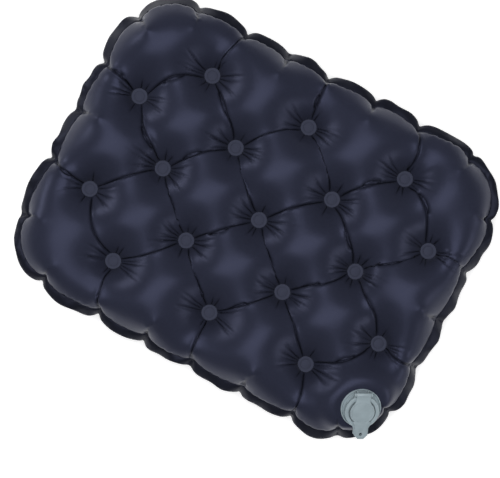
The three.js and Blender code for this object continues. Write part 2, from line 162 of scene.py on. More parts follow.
class FinishSettings(bpy.types.PropertyGroup):
    """Colours of the materials."""

    fabric: FloatVectorProperty(
        name="Fabric", description="Colour of the sheets", subtype="COLOR", size=3, min=0, max=1,
        default=record_colour("navy_fabric", 0.45))
    # painted shade: the rim's colour is darkened to a fifth of its recorded colour to stand for the shade that the
    # drooping rim lies in
    rim: FloatVectorProperty(
        name="Rim", description="Colour of the welded rim", subtype="COLOR", size=3, min=0, max=1,
        default=record_colour("welded_rim", 0.20))
    weld: FloatVectorProperty(
        name="Weld", description="Colour of the spot welds", subtype="COLOR", size=3, min=0, max=1,
        default=record_colour("weld_spot", 0.52))
    valve: FloatVectorProperty(
        name="Valve", description="Colour of the valve's plastic", subtype="COLOR", size=3, min=0, max=1,
        default=record_colour("valve_plastic", 1.08))
    silicone: FloatVectorProperty(
        name="Silicone", description="Colour of the check diaphragm", subtype="COLOR", size=3, min=0, max=1,
        default=record_colour("silicone"))


class StageSettings(bpy.types.PropertyGroup):
    """Floor, lights and camera."""

    floor_size: FloatProperty(
        name="Floor size", description="Side of the floor", default=12.0, unit="LENGTH")
    floor_colour: FloatVectorProperty(
        name="Floor", description="Colour of the floor", subtype="COLOR", size=3, min=0, max=1,
        default=(0.92, 0.92, 0.92))
    sky_strength: FloatProperty(
        name="Sky strength", description="Light from all round", default=0.08)
    floor_glow: FloatProperty(
        name="Floor glow", description="Light that the floor gives off", default=0.45)
    key_power: FloatProperty(
        name="Key light", description="Power of the light on the left", default=5.0)
    fill_power: FloatProperty(
        name="Fill light", description="Power of the light on the right", default=3.0)
    top_power: FloatProperty(
        name="Top light", description="Power of the long light overhead", default=74.0)
    lens: FloatProperty(
        name="Lens", description="Focal length in millimetres", default=150.0)
    turn: FloatProperty(
        name="Turn", description="Turn of the view round the vertical", default=math.radians(28.2),
        subtype="ANGLE")
    view_width: FloatProperty(
        name="View width", description="Width of the view at the height of the welds",
        default=0.476, unit="LENGTH")


# ---- Cutting the fabric flat ----


def weld_centres():
    """Middle of each spot weld, in plan."""
    centres = []
    for name in WELD_NAMES:
        low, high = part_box(name)
        centres.append(((low.x + high.x) / 2, (low.y + high.y) / 2))
    return np.array(centres)


def body_half_sizes(quilt):
    """Half the length and width of the sheets inside the rim."""
    return rim_high.x - quilt.rim_width, rim_high.y - quilt.rim_width


def seam_shape(quilt):
    """Half the length, half the width and the corner radius of the seam between sheets and rim."""
    return (*body_half_sizes(quilt), quilt.corner_radius - quilt.rim_width)


def seam_line(quilt):
    """Points along the seam as it is cut."""
    return np.array(rounded_outline(*seam_shape(quilt), quilt.weld_step))


def nearest_index(line, place):
    """Which point of a line is nearest to a place."""
    return int(np.argmin(np.hypot(line[:, 0] - place[0], line[:, 1] - place[1])))


def rounded_outline(half_x, half_y, radius, step):
    """Points round a rounded rectangle, anticlockwise, about a step apart."""
    points = []
    corners = ((1, -1, -90), (1, 1, 0), (-1, 1, 90), (-1, -1, 180))
    arc_count = round(radius * math.pi / 2 / step)
    for index, (side_x, side_y, first) in enumerate(corners):
        centre = Vector((side_x * (half_x - radius), side_y * (half_y - radius)))
        for i in range(arc_count):
            angle = math.radians(first + 90 * i / arc_count)
            points.append(centre + radius * Vector((math.cos(angle), math.sin(angle))))
        end_angle = math.radians(first + 90)
        end = centre + radius * Vector((math.cos(end_angle), math.sin(end_angle)))
        next_x, next_y, _ = corners[(index + 1) % 4]
        next_centre = Vector((next_x * (half_x - radius), next_y * (half_y - radius)))
        run = next_centre - centre
        straight_count = round(run.length / step)
        points.extend(end + run * i / straight_count for i in range(straight_count))
    return [tuple(p) for p in points]


def edge_distance(points, half_x, half_y, radius):
    """Distance outside a rounded rectangle, negative inside."""
    past_x = np.abs(points[:, 0]) - (half_x - radius)
    past_y = np.abs(points[:, 1]) - (half_y - radius)
    outside = np.hypot(np.maximum(past_x, 0), np.maximum(past_y, 0))
    return outside + np.minimum(np.maximum(past_x, past_y), 0) - radius


def nearest_distance(points, others):
    """Distance from each point to the nearest of the others."""
    best = np.full(len(points), np.inf)
    for other in others:
        best = np.minimum(best, np.hypot(points[:, 0] - other[0], points[:, 1] - other[1]))
    return best


def bowed_line(start, end, bow, peak, step):
    """Points from start to end, bowed sideways, furthest at the share called peak."""
    start, end = Vector(start), Vector(end)
    run = end - start
    side = Vector((-run.y, run.x)).normalized()
    count = max(3, round(run.length / step))
    power = math.log(0.5) / math.log(peak)
    points = []
    for i in range(count + 1):
        share = i / count
        points.append(tuple(start + run * share + side * bow * math.sin(math.pi * share**power)))
    return points


def arc_height(share):
    """Height of a half-round arc, 1 in its middle, at a share of its span."""
    return math.sqrt(max(0, 4 * share * (1 - share)))


def beside(line, gap, first=0.0, last=1.0):
    """A line moved sideways, or the stretch of it from one share to another, most in its middle."""
    count = len(line)
    start, stop = int(first * (count - 1)), int(last * (count - 1)) + 1
    moved = []
    for i in range(start, stop):
        ahead = Vector(line[min(i + 1, count - 1)]) - Vector(line[max(i - 1, 0)])
        side = Vector((-ahead.y, ahead.x)).normalized()
        share = (i - start) / max(1, stop - 1 - start)
        part = arc_height(share) if last - first < 1 else 1
        moved.append(tuple(Vector(line[i]) + side * gap * part))
    return moved


LONGEST_CREASE = 80 * MM  # welds, or a weld and the rim, further apart than this have no crease


def weld_creases(quilt, welds, rng):
    """Lines where the inflated fabric folds from one weld to the next."""
    lines = []
    for i, a in enumerate(welds):
        for b in welds[i + 1:]:
            run = Vector(b - a)
            if run.length > LONGEST_CREASE:
                continue
            along = run.normalized()
            side = Vector((-along.y, along.x))
            middle = Vector((a + b) / 2)
            outward = 1.0 if side.dot(middle) >= 0 else -1.0
            strongest_at = 150 * MM
            bow = outward * quilt.crease_bow * (0.35 + middle.length / strongest_at)
            bow += rng.normal(0, 1.2 * MM)
            start = Vector(a) + along * quilt.weld_radius
            end = Vector(b) - along * quilt.weld_radius
            lines.append(bowed_line(start, end, bow, rng.uniform(0.38, 0.62), quilt.weld_step))
    return lines


def rim_creases(quilt, welds, rng):
    """Lines where the fabric folds from the outer welds to the rim, and where they reach it."""
    half_x, half_y = body_half_sizes(quilt)
    wander, bow, rim_gap = 14, 2, 3  # in millimetres
    lines = []
    ends = []
    for weld in welds:
        to_side = half_x - abs(weld[0])
        to_end = half_y - abs(weld[1])
        if min(to_side, to_end) > LONGEST_CREASE:
            continue
        sideways = rng.uniform(-wander, wander) * MM
        if to_side < to_end:
            end = Vector((math.copysign(half_x, weld[0]), weld[1] + sideways))
        else:
            end = Vector((weld[0] + sideways, math.copysign(half_y, weld[1])))
        along = (end - Vector(weld)).normalized()
        start = Vector(weld) + along * quilt.weld_radius
        stop = end - along * rim_gap * MM
        lines.append(bowed_line(start, stop, rng.uniform(-bow, bow) * MM, 0.5, quilt.weld_step))
        ends.append(tuple(end))
    return lines, ends


def doubled_folds(lines, rng):
    """Short second folds beside some of the creases."""
    share_doubled = 0.6
    doubles = []
    for line in lines:
        if rng.random() < share_doubled:
            middle, half = rng.uniform(0.35, 0.65), rng.uniform(0.14, 0.22)
            gap = rng.choice((-1, 1)) * rng.uniform(1.8, 2.8) * MM
            doubles.append(beside(line, gap, middle - half, middle + half))
    return doubles


def pucker_places(quilt, ends):
    """Points on the sheets' edge, between the creases that reach it, with the way inwards."""
    outline = seam_line(quilt)
    at = sorted(nearest_index(outline, end) for end in ends)
    long_span = 120 * MM
    reach = 3  # how many points ahead and behind give the edge's direction
    places = []
    for first, second in zip(at, at[1:] + [at[0] + len(outline)]):
        span = (second - first) * quilt.weld_step
        shares = (0.5,) if span < long_span else (0.32, 0.68)
        for share in shares:
            index = int(first + share * (second - first)) % len(outline)
            ahead = outline[(index + reach) % len(outline)] - outline[index - reach]
            inward = Vector((-ahead[1], ahead[0])).normalized()
            places.append((Vector(outline[index]), inward))
    return places


def pucker_folds(quilt, puckers):
    """Short lines inwards from the edge at each pucker."""
    rim_gap, length, bow = 3, 20, 1  # in millimetres
    lines = []
    for place, inward in puckers:
        start = place + inward * rim_gap * MM
        end = start + inward * length * MM
        lines.append(bowed_line(start, end, bow * MM, 0.5, quilt.weld_step))
    return lines


def hexagonal_points(quilt, step, keep):
    """A turned triangular grid of points, kept where keep(points) is true."""
    half_x, half_y = rim_high.x, rim_high.y
    count = int(1.5 * math.hypot(half_x, half_y) / step)
    columns, rows = np.meshgrid(np.arange(-count, count), np.arange(-count, count))
    x = step * (columns + 0.5 * (rows % 2)).ravel()
    y = step * math.sqrt(3) / 2 * rows.ravel()
    turn = math.radians(17)
    points = np.column_stack((
        x * math.cos(turn) - y * math.sin(turn),
        x * math.sin(turn) + y * math.cos(turn),
    ))
    inside = (np.abs(points[:, 0]) < half_x) & (np.abs(points[:, 1]) < half_y)
    points = points[inside]
    return points[keep(points)]


def fill_points(quilt, welds, fixed):
    """Points that fill the cloth between its lines, finer round the welds."""
    fine_reach = 3 * quilt.weld_radius
    rim_clearance = 0.6 * quilt.cloth_step
    line_clearance = 0.62  # as a share of the step

    def in_fine_zone(points):
        return nearest_distance(points, welds) < fine_reach

    def in_cloth(points):
        distance = edge_distance(points, *seam_shape(quilt))
        return (distance < quilt.rim_width - rim_clearance) & ~in_fine_zone(points)

    fill = []
    for step, zone in ((quilt.weld_step, in_fine_zone), (quilt.cloth_step, in_cloth)):
        points = hexagonal_points(quilt, step, zone)
        clear = np.array([np.min(np.hypot(fixed[:, 0] - x, fixed[:, 1] - y)) for x, y in points])
        fill.extend(tuple(p) for p in points[clear > line_clearance * step])
    return fill


def cut_pattern(quilt):
    """The flat cloth as points and triangles, with its distances from the sheets' edge and the
    welds, and the lines where it will fold."""
    rng = np.random.default_rng(quilt.seed)
    welds = weld_centres()
    points = []
    edges = []

    def add_line(line, closed):
        first = len(points)
        points.extend(line)
        count = len(line) if closed else len(line) - 1
        edges.extend((first + i, first + (i + 1) % len(line)) for i in range(count))

    add_line(rounded_outline(*seam_shape(quilt), quilt.cloth_step), True)
    add_line(rounded_outline(rim_high.x, rim_high.y, quilt.corner_radius, quilt.cloth_step), True)
    ring_count = round(2 * math.pi * quilt.weld_radius / quilt.weld_step)
    turns = [2 * math.pi * i / ring_count for i in range(ring_count)]
    for x, y in welds:
        ring = [(x + quilt.weld_radius * math.cos(t), y + quilt.weld_radius * math.sin(t)) for t in turns]
        add_line(ring, True)
    lines = weld_creases(quilt, welds, rng)
    outer_lines, ends = rim_creases(quilt, welds, rng)
    lines += outer_lines
    doubles = doubled_folds(lines, rng)
    puckers = pucker_places(quilt, ends)
    pucker_lines = pucker_folds(quilt, puckers)
    for line in lines + pucker_lines + doubles:
        add_line(line[1:-1], False)
    guide_gap = 1.5 * MM
    for line in lines:
        for gap in (-guide_gap, guide_gap):
            points.extend(beside(line, gap)[2:-2])
    points.extend(fill_points(quilt, welds, np.array(points)))
    tolerance = 1e-7
    made = geometry.delaunay_2d_cdt([Vector(p) for p in points], edges, [], 0, tolerance)
    flat = np.array([tuple(p) for p in made[0]])
    triangles = np.array([tuple(f) for f in made[2]])
    a, b, c = flat[triangles[:, 0]], flat[triangles[:, 1]], flat[triangles[:, 2]]
    area = (b[:, 0] - a[:, 0]) * (c[:, 1] - a[:, 1]) - (b[:, 1] - a[:, 1]) * (c[:, 0] - a[:, 0])
    triangles[area < 0] = triangles[area < 0][:, ::-1]
    middle = (a + b + c) / 3
    middle_edge = edge_distance(middle, *seam_shape(quilt))
    in_weld = nearest_distance(middle, welds) < 0.99 * quilt.weld_radius
    return {
        "flat": flat,
        "triangles": triangles,
        "in_rim": (middle_edge > 0) & (middle_edge < quilt.rim_width),
        "in_weld": in_weld,
        "in_sheet": (middle_edge <= 0) & ~in_weld,
        "edge": edge_distance(flat, *seam_shape(quilt)),
        "weld": nearest_distance(flat, welds),
        "fold": nearest_distance(flat, np.array([p for line in lines + pucker_lines for p in line])),
        "creases": lines,
        "doubles": doubles,
        "ends": ends,
        "puckers": puckers,
        "pucker_lines": pucker_lines,
        "welds": welds,
    }


# ---- Inflating it ----


def vertex_group(piece, name, weights):
    """A vertex group with a weight for each point that has one over zero."""
    group = piece.vertex_groups.new(name=name)
    for index in np.nonzero(weights > 0)[0]:
        group.add([int(index)], float(weights[index]), "REPLACE")
    return name


def start_shape(quilt, pattern):
    """The two sheets lying a little apart, with a hint of each crease and wrinkle. The sheets share
    their points along the rim and on the welds."""
    rng = np.random.default_rng(quilt.seed + 1)
    gap = 1.5  # in millimetres
    rise_reach = 8 * MM
    ray_height, ray_reach, rays_round = 0.4 * MM, 10 * MM, 9
    seam_jitter, sheet_jitter = 0.12 * MM, 0.1 * MM
    flat, edge, weld = pattern["flat"], pattern["edge"], pattern["weld"]
    shared = (edge > -TOUCHING) | (weld < quilt.weld_radius + TOUCHING)
    free = np.nonzero(~shared)[0]
    below = np.where(shared, np.arange(len(flat)), 0)
    below[free] = len(flat) + np.arange(len(free))
    rise = np.minimum(np.minimum(-edge, weld - quilt.weld_radius), rise_reach)
    rise = np.minimum(rise, gap * MM + pattern["fold"]) / rise_reach * gap * MM
    to_weld = flat[:, None, :] - pattern["welds"][None, :, :]
    nearest = np.argmin(np.hypot(to_weld[:, :, 0], to_weld[:, :, 1]), axis=1)
    offset = to_weld[np.arange(len(flat)), nearest]
    phase = rng.uniform(0, 2 * math.pi, len(pattern["welds"]))[nearest]
    turn = np.arctan2(offset[:, 1], offset[:, 0])
    fade = np.exp(-(weld - quilt.weld_radius) / ray_reach)
    lift = rise + ray_height * np.cos(rays_round * turn + phase) * fade
    on_seam = rng.normal(0, seam_jitter, len(flat))
    top = np.where(shared, on_seam, lift + rng.normal(0, sheet_jitter, len(flat)))
    bottom = -lift[free] + rng.normal(0, sheet_jitter, len(free))
    heights = np.concatenate((top, bottom))
    plan = np.concatenate((flat, flat[free]))
    return np.column_stack((plan, heights)), below, free, shared


def cloth_faces(pattern, below):
    """Triangles of the whole closed cloth: top sheet, bottom sheet, rim and welds."""
    triangles = pattern["triangles"]
    sheet = triangles[pattern["in_sheet"]]
    return np.concatenate((
        sheet,
        below[sheet][:, ::-1],
        triangles[pattern["in_rim"]],
        triangles[pattern["in_weld"]],
    ))


def inflate(quilt, pattern):
    """Blows the pillow up with the cloth solver, with its welds held in place, and returns the
    points of the settled cloth."""
    start, below, free, shared = start_shape(quilt, pattern)
    mesh = bpy.data.meshes.new("cloth")
    mesh.from_pydata((start * SIMULATION_SCALE).tolist(), [], cloth_faces(pattern, below).tolist())
    cloth = bpy.data.objects.new("cloth", mesh)
    bpy.context.scene.collection.objects.link(cloth)
    edge = np.concatenate((pattern["edge"], pattern["edge"][free]))
    weld = np.concatenate((pattern["weld"], pattern["weld"][free]))
    on_weld = weld < quilt.weld_radius + TOUCHING
    on_rim = edge > -TOUCHING
    rim_hold, rim_stiffness = 0.3, 0.6
    held = np.where(on_weld, 1.0, np.where(on_rim, rim_hold, 0.0))
    pressed = np.ones(len(start))
    pressed[:len(shared)][shared] = 0
    stiff = np.where(on_weld, 1.0, np.where(edge > -0.5 * MM, rim_stiffness, 0.0))
    rim_zone = 25 * MM
    modifier = cloth.modifiers.new("Cloth", "CLOTH")
    settings = modifier.settings
    usual_count = 9700  # the number of points that the mass and the damping below are for
    density = usual_count / len(start)
    settings.quality = 6
    settings.mass = 0.001 * density
    settings.air_damping = 10 * density
    settings.tension_stiffness = 300
    settings.compression_stiffness = 30
    settings.shear_stiffness = 30
    for way in ("tension", "compression", "shear"):
        setattr(settings, way + "_damping", 8)
    settings.bending_model = "LINEAR"
    settings.bending_stiffness = 0.05
    settings.bending_stiffness_max = 5
    settings.bending_damping = 0.5
    settings.vertex_group_bending = vertex_group(cloth, "stiff", stiff)
    settings.vertex_group_mass = vertex_group(cloth, "held", held)
    settings.pin_stiffness = 1.0
    settings.vertex_group_shrink = vertex_group(cloth, "rim_zone", np.clip(1 + edge / rim_zone, 0, 1))
    settings.shrink_min = -quilt.spare_fabric
    settings.shrink_max = -quilt.spare_rim
    settings.use_pressure = True
    settings.uniform_pressure_force = quilt.pressure
    settings.vertex_group_pressure = vertex_group(cloth, "pressed", pressed)
    settings.effector_weights.gravity = 0
    modifier.collision_settings.use_collision = False
    modifier.collision_settings.use_self_collision = False
    modifier.point_cache.frame_end = quilt.frames + 1
    scene = bpy.context.scene
    for step in range(1, quilt.frames + 1):
        scene.frame_set(step)
    select_only(cloth)
    bpy.ops.object.modifier_apply(modifier=modifier.name)
    points = np.zeros(3 * len(cloth.data.vertices), np.float32)
    cloth.data.vertices.foreach_get("co", points)
    bpy.data.objects.remove(cloth)
    scene.frame_set(1)
    return points.reshape(-1, 3).astype(float) / SIMULATION_SCALE, below


# ---- Dressing the inflated shape ----


def smooth(share):
    """An eased step from 0 to 1."""
    share = np.clip(share, 0, 1)
    return share * share * (3 - 2 * share)


def joint(name):
    """A joint of the frame, by name."""
    return next(j for j in frame["joints"] if j["name"] == name)


def valve_axes():
    """The valve's frame: its middle on the fabric, X towards the tabs and Z out of the fabric."""
    out = -Vector(joint("diaphragm_slide")["axis"])
    across = -Vector(joint("deflate_plug_hinge")["axis"])
    along = across.cross(out)
    pin = Vector(joint("deflate_plug_hinge")["pos_m"])
    back, height = -PLUG_PIN[0] * MM, PLUG_PIN[1] * MM
    middle = pin + along * back - out * height
    turn = Matrix((along, across, out)).transposed().to_4x4()
    return Matrix.Translation(middle) @ turn


def relax(quilt, pattern, points):
    """Evens out the sheet between its creases, welds and edge."""
    sheet = pattern["triangles"][pattern["in_sheet"]]
    pairs = np.concatenate((sheet[:, (0, 1)], sheet[:, (1, 2)], sheet[:, (2, 0)]))
    pairs = np.unique(np.sort(pairs, axis=1), axis=0)
    count = np.bincount(pairs.ravel(), minlength=len(points))[:, None]
    ease = 5 * MM
    rounds, pull = 30, 0.6
    share = smooth((pattern["fold"] - 1.5 * MM) / (4 * MM))
    share *= smooth((pattern["weld"] - quilt.weld_radius - 2 * MM) / ease)
    share *= smooth((-pattern["edge"] - 3 * MM) / ease)
    share[count[:, 0] == 0] = 0
    for _ in range(rounds):
        total = np.zeros_like(points)
        np.add.at(total, pairs[:, 0], points[pairs[:, 1]])
        np.add.at(total, pairs[:, 1], points[pairs[:, 0]])
        points = points + pull * share[:, None] * (total / np.maximum(count, 1) - points)
    return points


def edge_outline(quilt):
    """The cut's seam line and which way is outwards along it."""
    outline = seam_line(quilt)
    ahead = np.roll(outline, -2, axis=0) - np.roll(outline, 2, axis=0)
    outward = np.column_stack((ahead[:, 1], -ahead[:, 0]))
    return outline, outward / np.linalg.norm(outward, axis=1)[:, None]


def edge_notches(quilt, pattern, outline, rng):
    """Where the seam is drawn in, by crease or pucker, and how strongly."""
    places = [(end, 1.0) for end in pattern["ends"]]
    places += [(place, 0.7) for place, _ in pattern["puckers"]]
    return sorted(
        (nearest_index(outline, place), share * rng.uniform(0.6, 1.3)) for place, share in places)


def edge_shifts(quilt, pattern, outline, outward):
    """How far the seam moves outwards along the outline, how much it puffs over the rim and how
    much the rim gathers: arcs between the creases and puckers that reach it, notches at them."""
    rng = np.random.default_rng(quilt.seed + 3)
    count = len(outline)
    notches = edge_notches(quilt, pattern, outline, rng)
    bulge = np.zeros(count)
    puff = np.zeros(count)
    for (first, _), (second, _) in zip(notches, notches[1:] + [(notches[0][0] + count, 0)]):
        span = second - first
        height = quilt.scallop * span * quilt.weld_step * rng.uniform(0.75, 1.2)
        lean = rng.uniform(-0.35, 0.35)
        cheek = rng.uniform(0.35, 1.0)
        for step in range(span):
            share = step / span
            arc = arc_height(share + lean * share * (1 - share))
            bulge[(first + step) % count] += height * arc
            puff[(first + step) % count] += cheek * arc
    towards_valve_end = np.clip(outward[:, 0], 0, 1)
    bulge -= np.mean(bulge) + quilt.edge_inset * (0.2 + 0.8 * towards_valve_end)
    notch = np.zeros(count)
    for index, share in notches:
        steps = np.abs((np.arange(count) - index + count // 2) % count - count // 2)
        notch = np.maximum(notch, share * np.exp(-(steps * quilt.weld_step) / quilt.notch_reach))
    seam_share = 0.15  # how much of a notch shows in the seam; the rest is in the rim
    return bulge - seam_share * quilt.pucker * notch, puff, notch


def move_seam(pattern, points, plan, outline, target):
    """Moves the seam of the settled cloth onto its line, and the sheets near it along with it."""
    reach = 42 * MM
    softening = 1 * MM
    seam = np.nonzero(np.abs(pattern["edge"]) < 0.05 * MM)[0]
    wanted = np.array([target[np.argmin(np.hypot(*(outline - plan[i]).T))] for i in seam])
    shift = wanted - points[seam, :2]
    distance = np.hypot(
        plan[:, None, 0] - plan[None, seam, 0], plan[:, None, 1] - plan[None, seam, 1])
    near = 1 / (distance + softening) ** 4
    moved = near @ shift / near.sum(axis=1)[:, None]
    share = 1 - smooth(np.min(distance, axis=1) / reach)
    points[:, :2] += moved * share[:, None]


def rim_waves(quilt, outline):
    """How the rim rises and falls, and how its width wanders, along the outline."""
    rng = np.random.default_rng(quilt.seed + 2)
    turn = np.arctan2(outline[:, 1] / rim_high.y, outline[:, 0] / rim_high.x)
    wave = np.zeros(len(outline))
    wander = np.zeros(len(outline))
    for waves_round in (9, 14, 23, 31, 47, 62):
        for total in (wave, wander):
            size = rng.uniform(0.5, 1.0)
            total += size * np.sin(waves_round * turn + rng.uniform(0, 2 * math.pi))
    return wave, wander


def shape_edge(quilt, pattern, points, plan, plan_edge):
    """Moves the seam onto its scalloped line, puffs the sheets over the rim and hangs the rim."""
    outline, outward = edge_outline(quilt)
    bulge, puff, notch = edge_shifts(quilt, pattern, outline, outward)
    target = outline + outward * bulge[:, None]
    move_seam(pattern, points, plan, outline, target)
    wave, wander = rim_waves(quilt, outline)

    # the sheets beside the seam
    cheek_rise, cheek_start, cheek_fade = 7 * MM, 5 * MM, 14 * MM
    beside_edge = np.nonzero(plan_edge > -20 * MM)[0]
    at = np.array([np.argmin(np.hypot(*(outline - plan[i]).T)) for i in beside_edge])
    past = plan_edge[beside_edge]
    inside = -past
    cheek = np.clip(inside / cheek_rise, 0, 1) ** 0.5 * (1 - smooth((inside - cheek_start) / cheek_fade))
    out = quilt.cheek * puff[at] * np.where(inside > 0, cheek, 0)
    points[beside_edge, :2] += outward[at] * out[:, None]

    # the rim outside it, narrower and lower at the notches
    usual, drift, narrowing, lowering, curl = 0.88, 0.05, 0.30, 0.6, 1.3
    rim = past > 0.05 * MM
    spots, at, past = beside_edge[rim], at[rim], past[rim]
    width = usual + drift * wander[at] - narrowing * notch[at]
    points[spots, :2] = target[at] + outward[at] * (past * width)[:, None]
    share = np.clip(past / quilt.rim_width, 0, 1)
    hang = wave[at] / 2 * quilt.rim_ruffle - quilt.rim_droop * (1 + lowering * notch[at])
    points[spots, 2] += share**curl * hang
    return points


def seat_valve(points, plan_edge):
    """Flattens the top sheet under the valve and eases it back to its own height round it."""
    seat_radius = 19.8 * MM
    blend = 22 * MM
    edge_ease = 12 * MM
    sheet_reach = 40 * MM  # further off than this it is not the sheet the valve is on
    axes = np.array(valve_axes())
    local = (points - axes[:3, 3]) @ axes[:3, :3]
    radius = np.hypot(local[:, 0], local[:, 1])
    share = 1 - smooth((radius - seat_radius) / blend)
    share = np.where(radius < seat_radius, 1, share * smooth(-plan_edge / edge_ease))
    share[np.abs(local[:, 2]) > sheet_reach] = 0
    local[:, 2] *= 1 - share
    return local @ axes[:3, :3].T + axes[:3, 3]


def finish_shape(quilt, pattern, points, below):
    """Sets the settled cloth to the frame's height and place, with its rim, puckers and valve seat."""
    count = len(pattern["flat"])
    plan_edge = np.concatenate((pattern["edge"], np.zeros(len(points) - count)))
    free = np.nonzero(below != np.arange(count))[0]
    plan_edge[below[free]] = pattern["edge"][free]
    half_height = cad_top_of_fabric() - MID_HEIGHT
    almost_all = 99.7  # the share of points, in percent, that lie below the crowns' height
    crown = np.percentile(np.abs(points[:, 2]), almost_all)
    points[:, 2] *= half_height / crown
    plan = np.concatenate((pattern["flat"], pattern["flat"][free]))
    points = shape_edge(quilt, pattern, points, plan, plan_edge)
    points[:, 2] += MID_HEIGHT
    top_points = relax(quilt, pattern, points[:count].copy())
    on_sheet = (pattern["edge"] < -TOUCHING) & (pattern["weld"] > quilt.weld_radius + TOUCHING)
    seated = seat_valve(top_points, pattern["edge"])
    top_points[on_sheet] = seated[on_sheet]
    bottom_points = relax(quilt, pattern, points[below])
    floor_clearance = 0.2 * MM
    bottom_points[:, 2] = np.maximum(bottom_points[:, 2], floor_clearance)
    return top_points, bottom_points, points[:count]


def cad_top_of_fabric():
    """Height of the top panel's crowns."""
    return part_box("top_panel")[1].z


# ---- Making meshes ----


def select_only(*pieces):
    """Makes these the only selected objects, the last one active."""
    if bpy.context.object and bpy.context.object.mode != "OBJECT":
        bpy.ops.object.mode_set(mode="OBJECT")
    bpy.ops.object.select_all(action="DESELECT")
    for piece in pieces:
        piece.select_set(True)
        bpy.context.view_layer.objects.active = piece


def cloth_piece(name, points, faces, flat):
    """A mesh object of those faces, with the flat cut as its UV map."""
    used = np.unique(faces)
    renumber = np.zeros(len(points), int)
    renumber[used] = np.arange(len(used))
    mesh = bpy.data.meshes.new(name)
    mesh.from_pydata(points[used].tolist(), [], renumber[faces].tolist())
    layer = mesh.uv_layers.new(name="flat_cut")
    corners = np.zeros(len(mesh.loops), int)
    mesh.loops.foreach_get("vertex_index", corners)
    layer.data.foreach_set("uv", flat[used][corners].ravel())
    mesh.polygons.foreach_set("use_smooth", [True] * len(mesh.polygons))
    piece = bpy.data.objects.new(name, mesh)
    bpy.context.scene.collection.objects.link(piece)
    return piece


def subdivide(piece):
    """Rounds the mesh once and keeps the result."""
    select_only(piece)
    modifier = piece.modifiers.new("Round", "SUBSURF")
    modifier.levels = 1
    modifier.render_levels = 1
    bpy.ops.object.modifier_apply(modifier=modifier.name)


def thicken(piece, thickness, offset):
    """Gives the sheet its thickness; offset -1 grows it inwards."""
    modifier = piece.modifiers.new("Thickness", "SOLIDIFY")
    modifier.thickness = thickness
    modifier.offset = offset
    modifier.use_even_offset = False


def vertex_array(mesh, what):
    """Positions or normals of the mesh's vertices."""
    values = np.zeros(3 * len(mesh.vertices), np.float32)
    mesh.vertices.foreach_get(what, values)
    return values.reshape(-1, 3).astype(float)


def move_vertices(mesh, points):
    """Puts the mesh's vertices at these places."""
    mesh.vertices.foreach_set("co", points.astype(np.float32).ravel())
    mesh.update()


def bell(distance, width):
    """A bump of height 1 that fades with distance."""
    return np.exp(-((distance / width) ** 2))


def flat_places(mesh):
    """Where each vertex lies on the flat cut."""
    places = np.zeros((len(mesh.vertices), 2))
    corners = np.zeros(len(mesh.loops), int)
    mesh.loops.foreach_get("vertex_index", corners)
    values = np.zeros(2 * len(mesh.loops), np.float32)
    mesh.uv_layers[0].data.foreach_get("uv", values)
    places[corners] = values.reshape(-1, 2)
    return places


def line_distance(points, line):
    """Distance from each point to a line, and how far along the line that is, as a share."""
    best = np.full(len(points), np.inf)
    share = np.zeros(len(points))
    for i in range(len(line) - 1):
        run = line[i + 1] - line[i]
        offset = points - line[i]
        along = np.clip(offset @ run / (run @ run), 0, 1)
        gap = offset - along[:, None] * run
        distance = np.hypot(gap[:, 0], gap[:, 1])
        closer = distance < best
        best[closer] = distance[closer]
        share[closer] = ((i + along) / (len(line) - 1))[closer]
    return best, share


def fold_profiles(flat, pattern):
    """For each crease, doubled fold and pucker: the points near it, their distance from it, how
    strong the fold is at each and how wide."""
    folds = [(line, 1.0, False) for line in pattern["creases"]]
    folds += [(line, 0.75, False) for line in pattern["doubles"]]
    folds += [(line, 1.3, True) for line in pattern["pucker_lines"]]
    reach = 8 * MM
    for line, strength, pocket in folds:
        line = np.array(line)
        inside = (flat > line.min(axis=0) - reach) & (flat < line.max(axis=0) + reach)
        near = np.nonzero(np.all(inside, axis=1))[0]
        if not len(near):
            continue
        distance, share = line_distance(flat[near], line)
        if pocket:
            fade = 1 - smooth(share)
            width = (0.8 + 1.4 * fade) * MM
        else:
            fade = smooth((share + 0.05) / 0.12) * smooth((1.03 - share) / 0.10)
            width = 0.8 * MM
        yield near, distance, strength * fade, width


def press_creases(quilt, piece, pattern):
    """Sinks a thin sharp fold along each crease and where the fabric is doubled, and a pocket that
    narrows inwards at each pucker."""
    shoulder, shoulder_width = 0.30, 2.8  # a fold's raised shoulders, as shares of the fold
    weld_ease, seam_ease = 3 * MM, 2 * MM
    mesh = piece.data
    normals = vertex_array(mesh, "normal")
    flat = flat_places(mesh)
    sunk = np.zeros(len(flat))
    for near, distance, strength, width in fold_profiles(flat, pattern):
        groove = bell(distance, width) - shoulder * bell(distance, shoulder_width * width)
        sunk[near] = np.maximum(sunk[near], quilt.crease_depth * strength * groove)
    seam = edge_distance(flat, *seam_shape(quilt))
    weld = nearest_distance(flat, pattern["welds"])
    sunk *= smooth((weld - quilt.weld_radius) / weld_ease) * smooth(-seam / seam_ease)
    move_vertices(mesh, vertex_array(mesh, "co") - normals * sunk[:, None])


WRINKLE_FANS = (  # heading and half spread in degrees, most wrinkles, longest in millimetres
    (186, 26, 4, 30),
    (4, 26, 4, 28),
    (90, 24, 2, 14),
    (270, 24, 2, 14),
)


def wrinkle_sink(quilt, offset, heading, longest, rng):
    """How far one wrinkle sinks each point, from the points' places round its weld."""
    angle = math.radians(heading)
    along = offset @ np.array((math.cos(angle), math.sin(angle)))
    across = offset @ np.array((-math.sin(angle), math.cos(angle)))
    length = longest * rng.uniform(0.6, 1.0) * MM
    share = (along - quilt.weld_radius) / length
    bend = rng.uniform(-0.12, 0.12) * np.maximum(along, 0) ** 2 / (20 * MM)
    width = (0.8 + 0.7 * np.clip(share, 0, 1)) * MM
    strength = smooth((share + 0.10) / 0.25) * (1 - np.clip(share, 0, 1) ** 1.5)
    groove = bell(across - bend, width) - 0.45 * bell(across - bend, 2.4 * width)
    return quilt.wrinkle_depth * rng.uniform(0.6, 1.2) * strength * groove


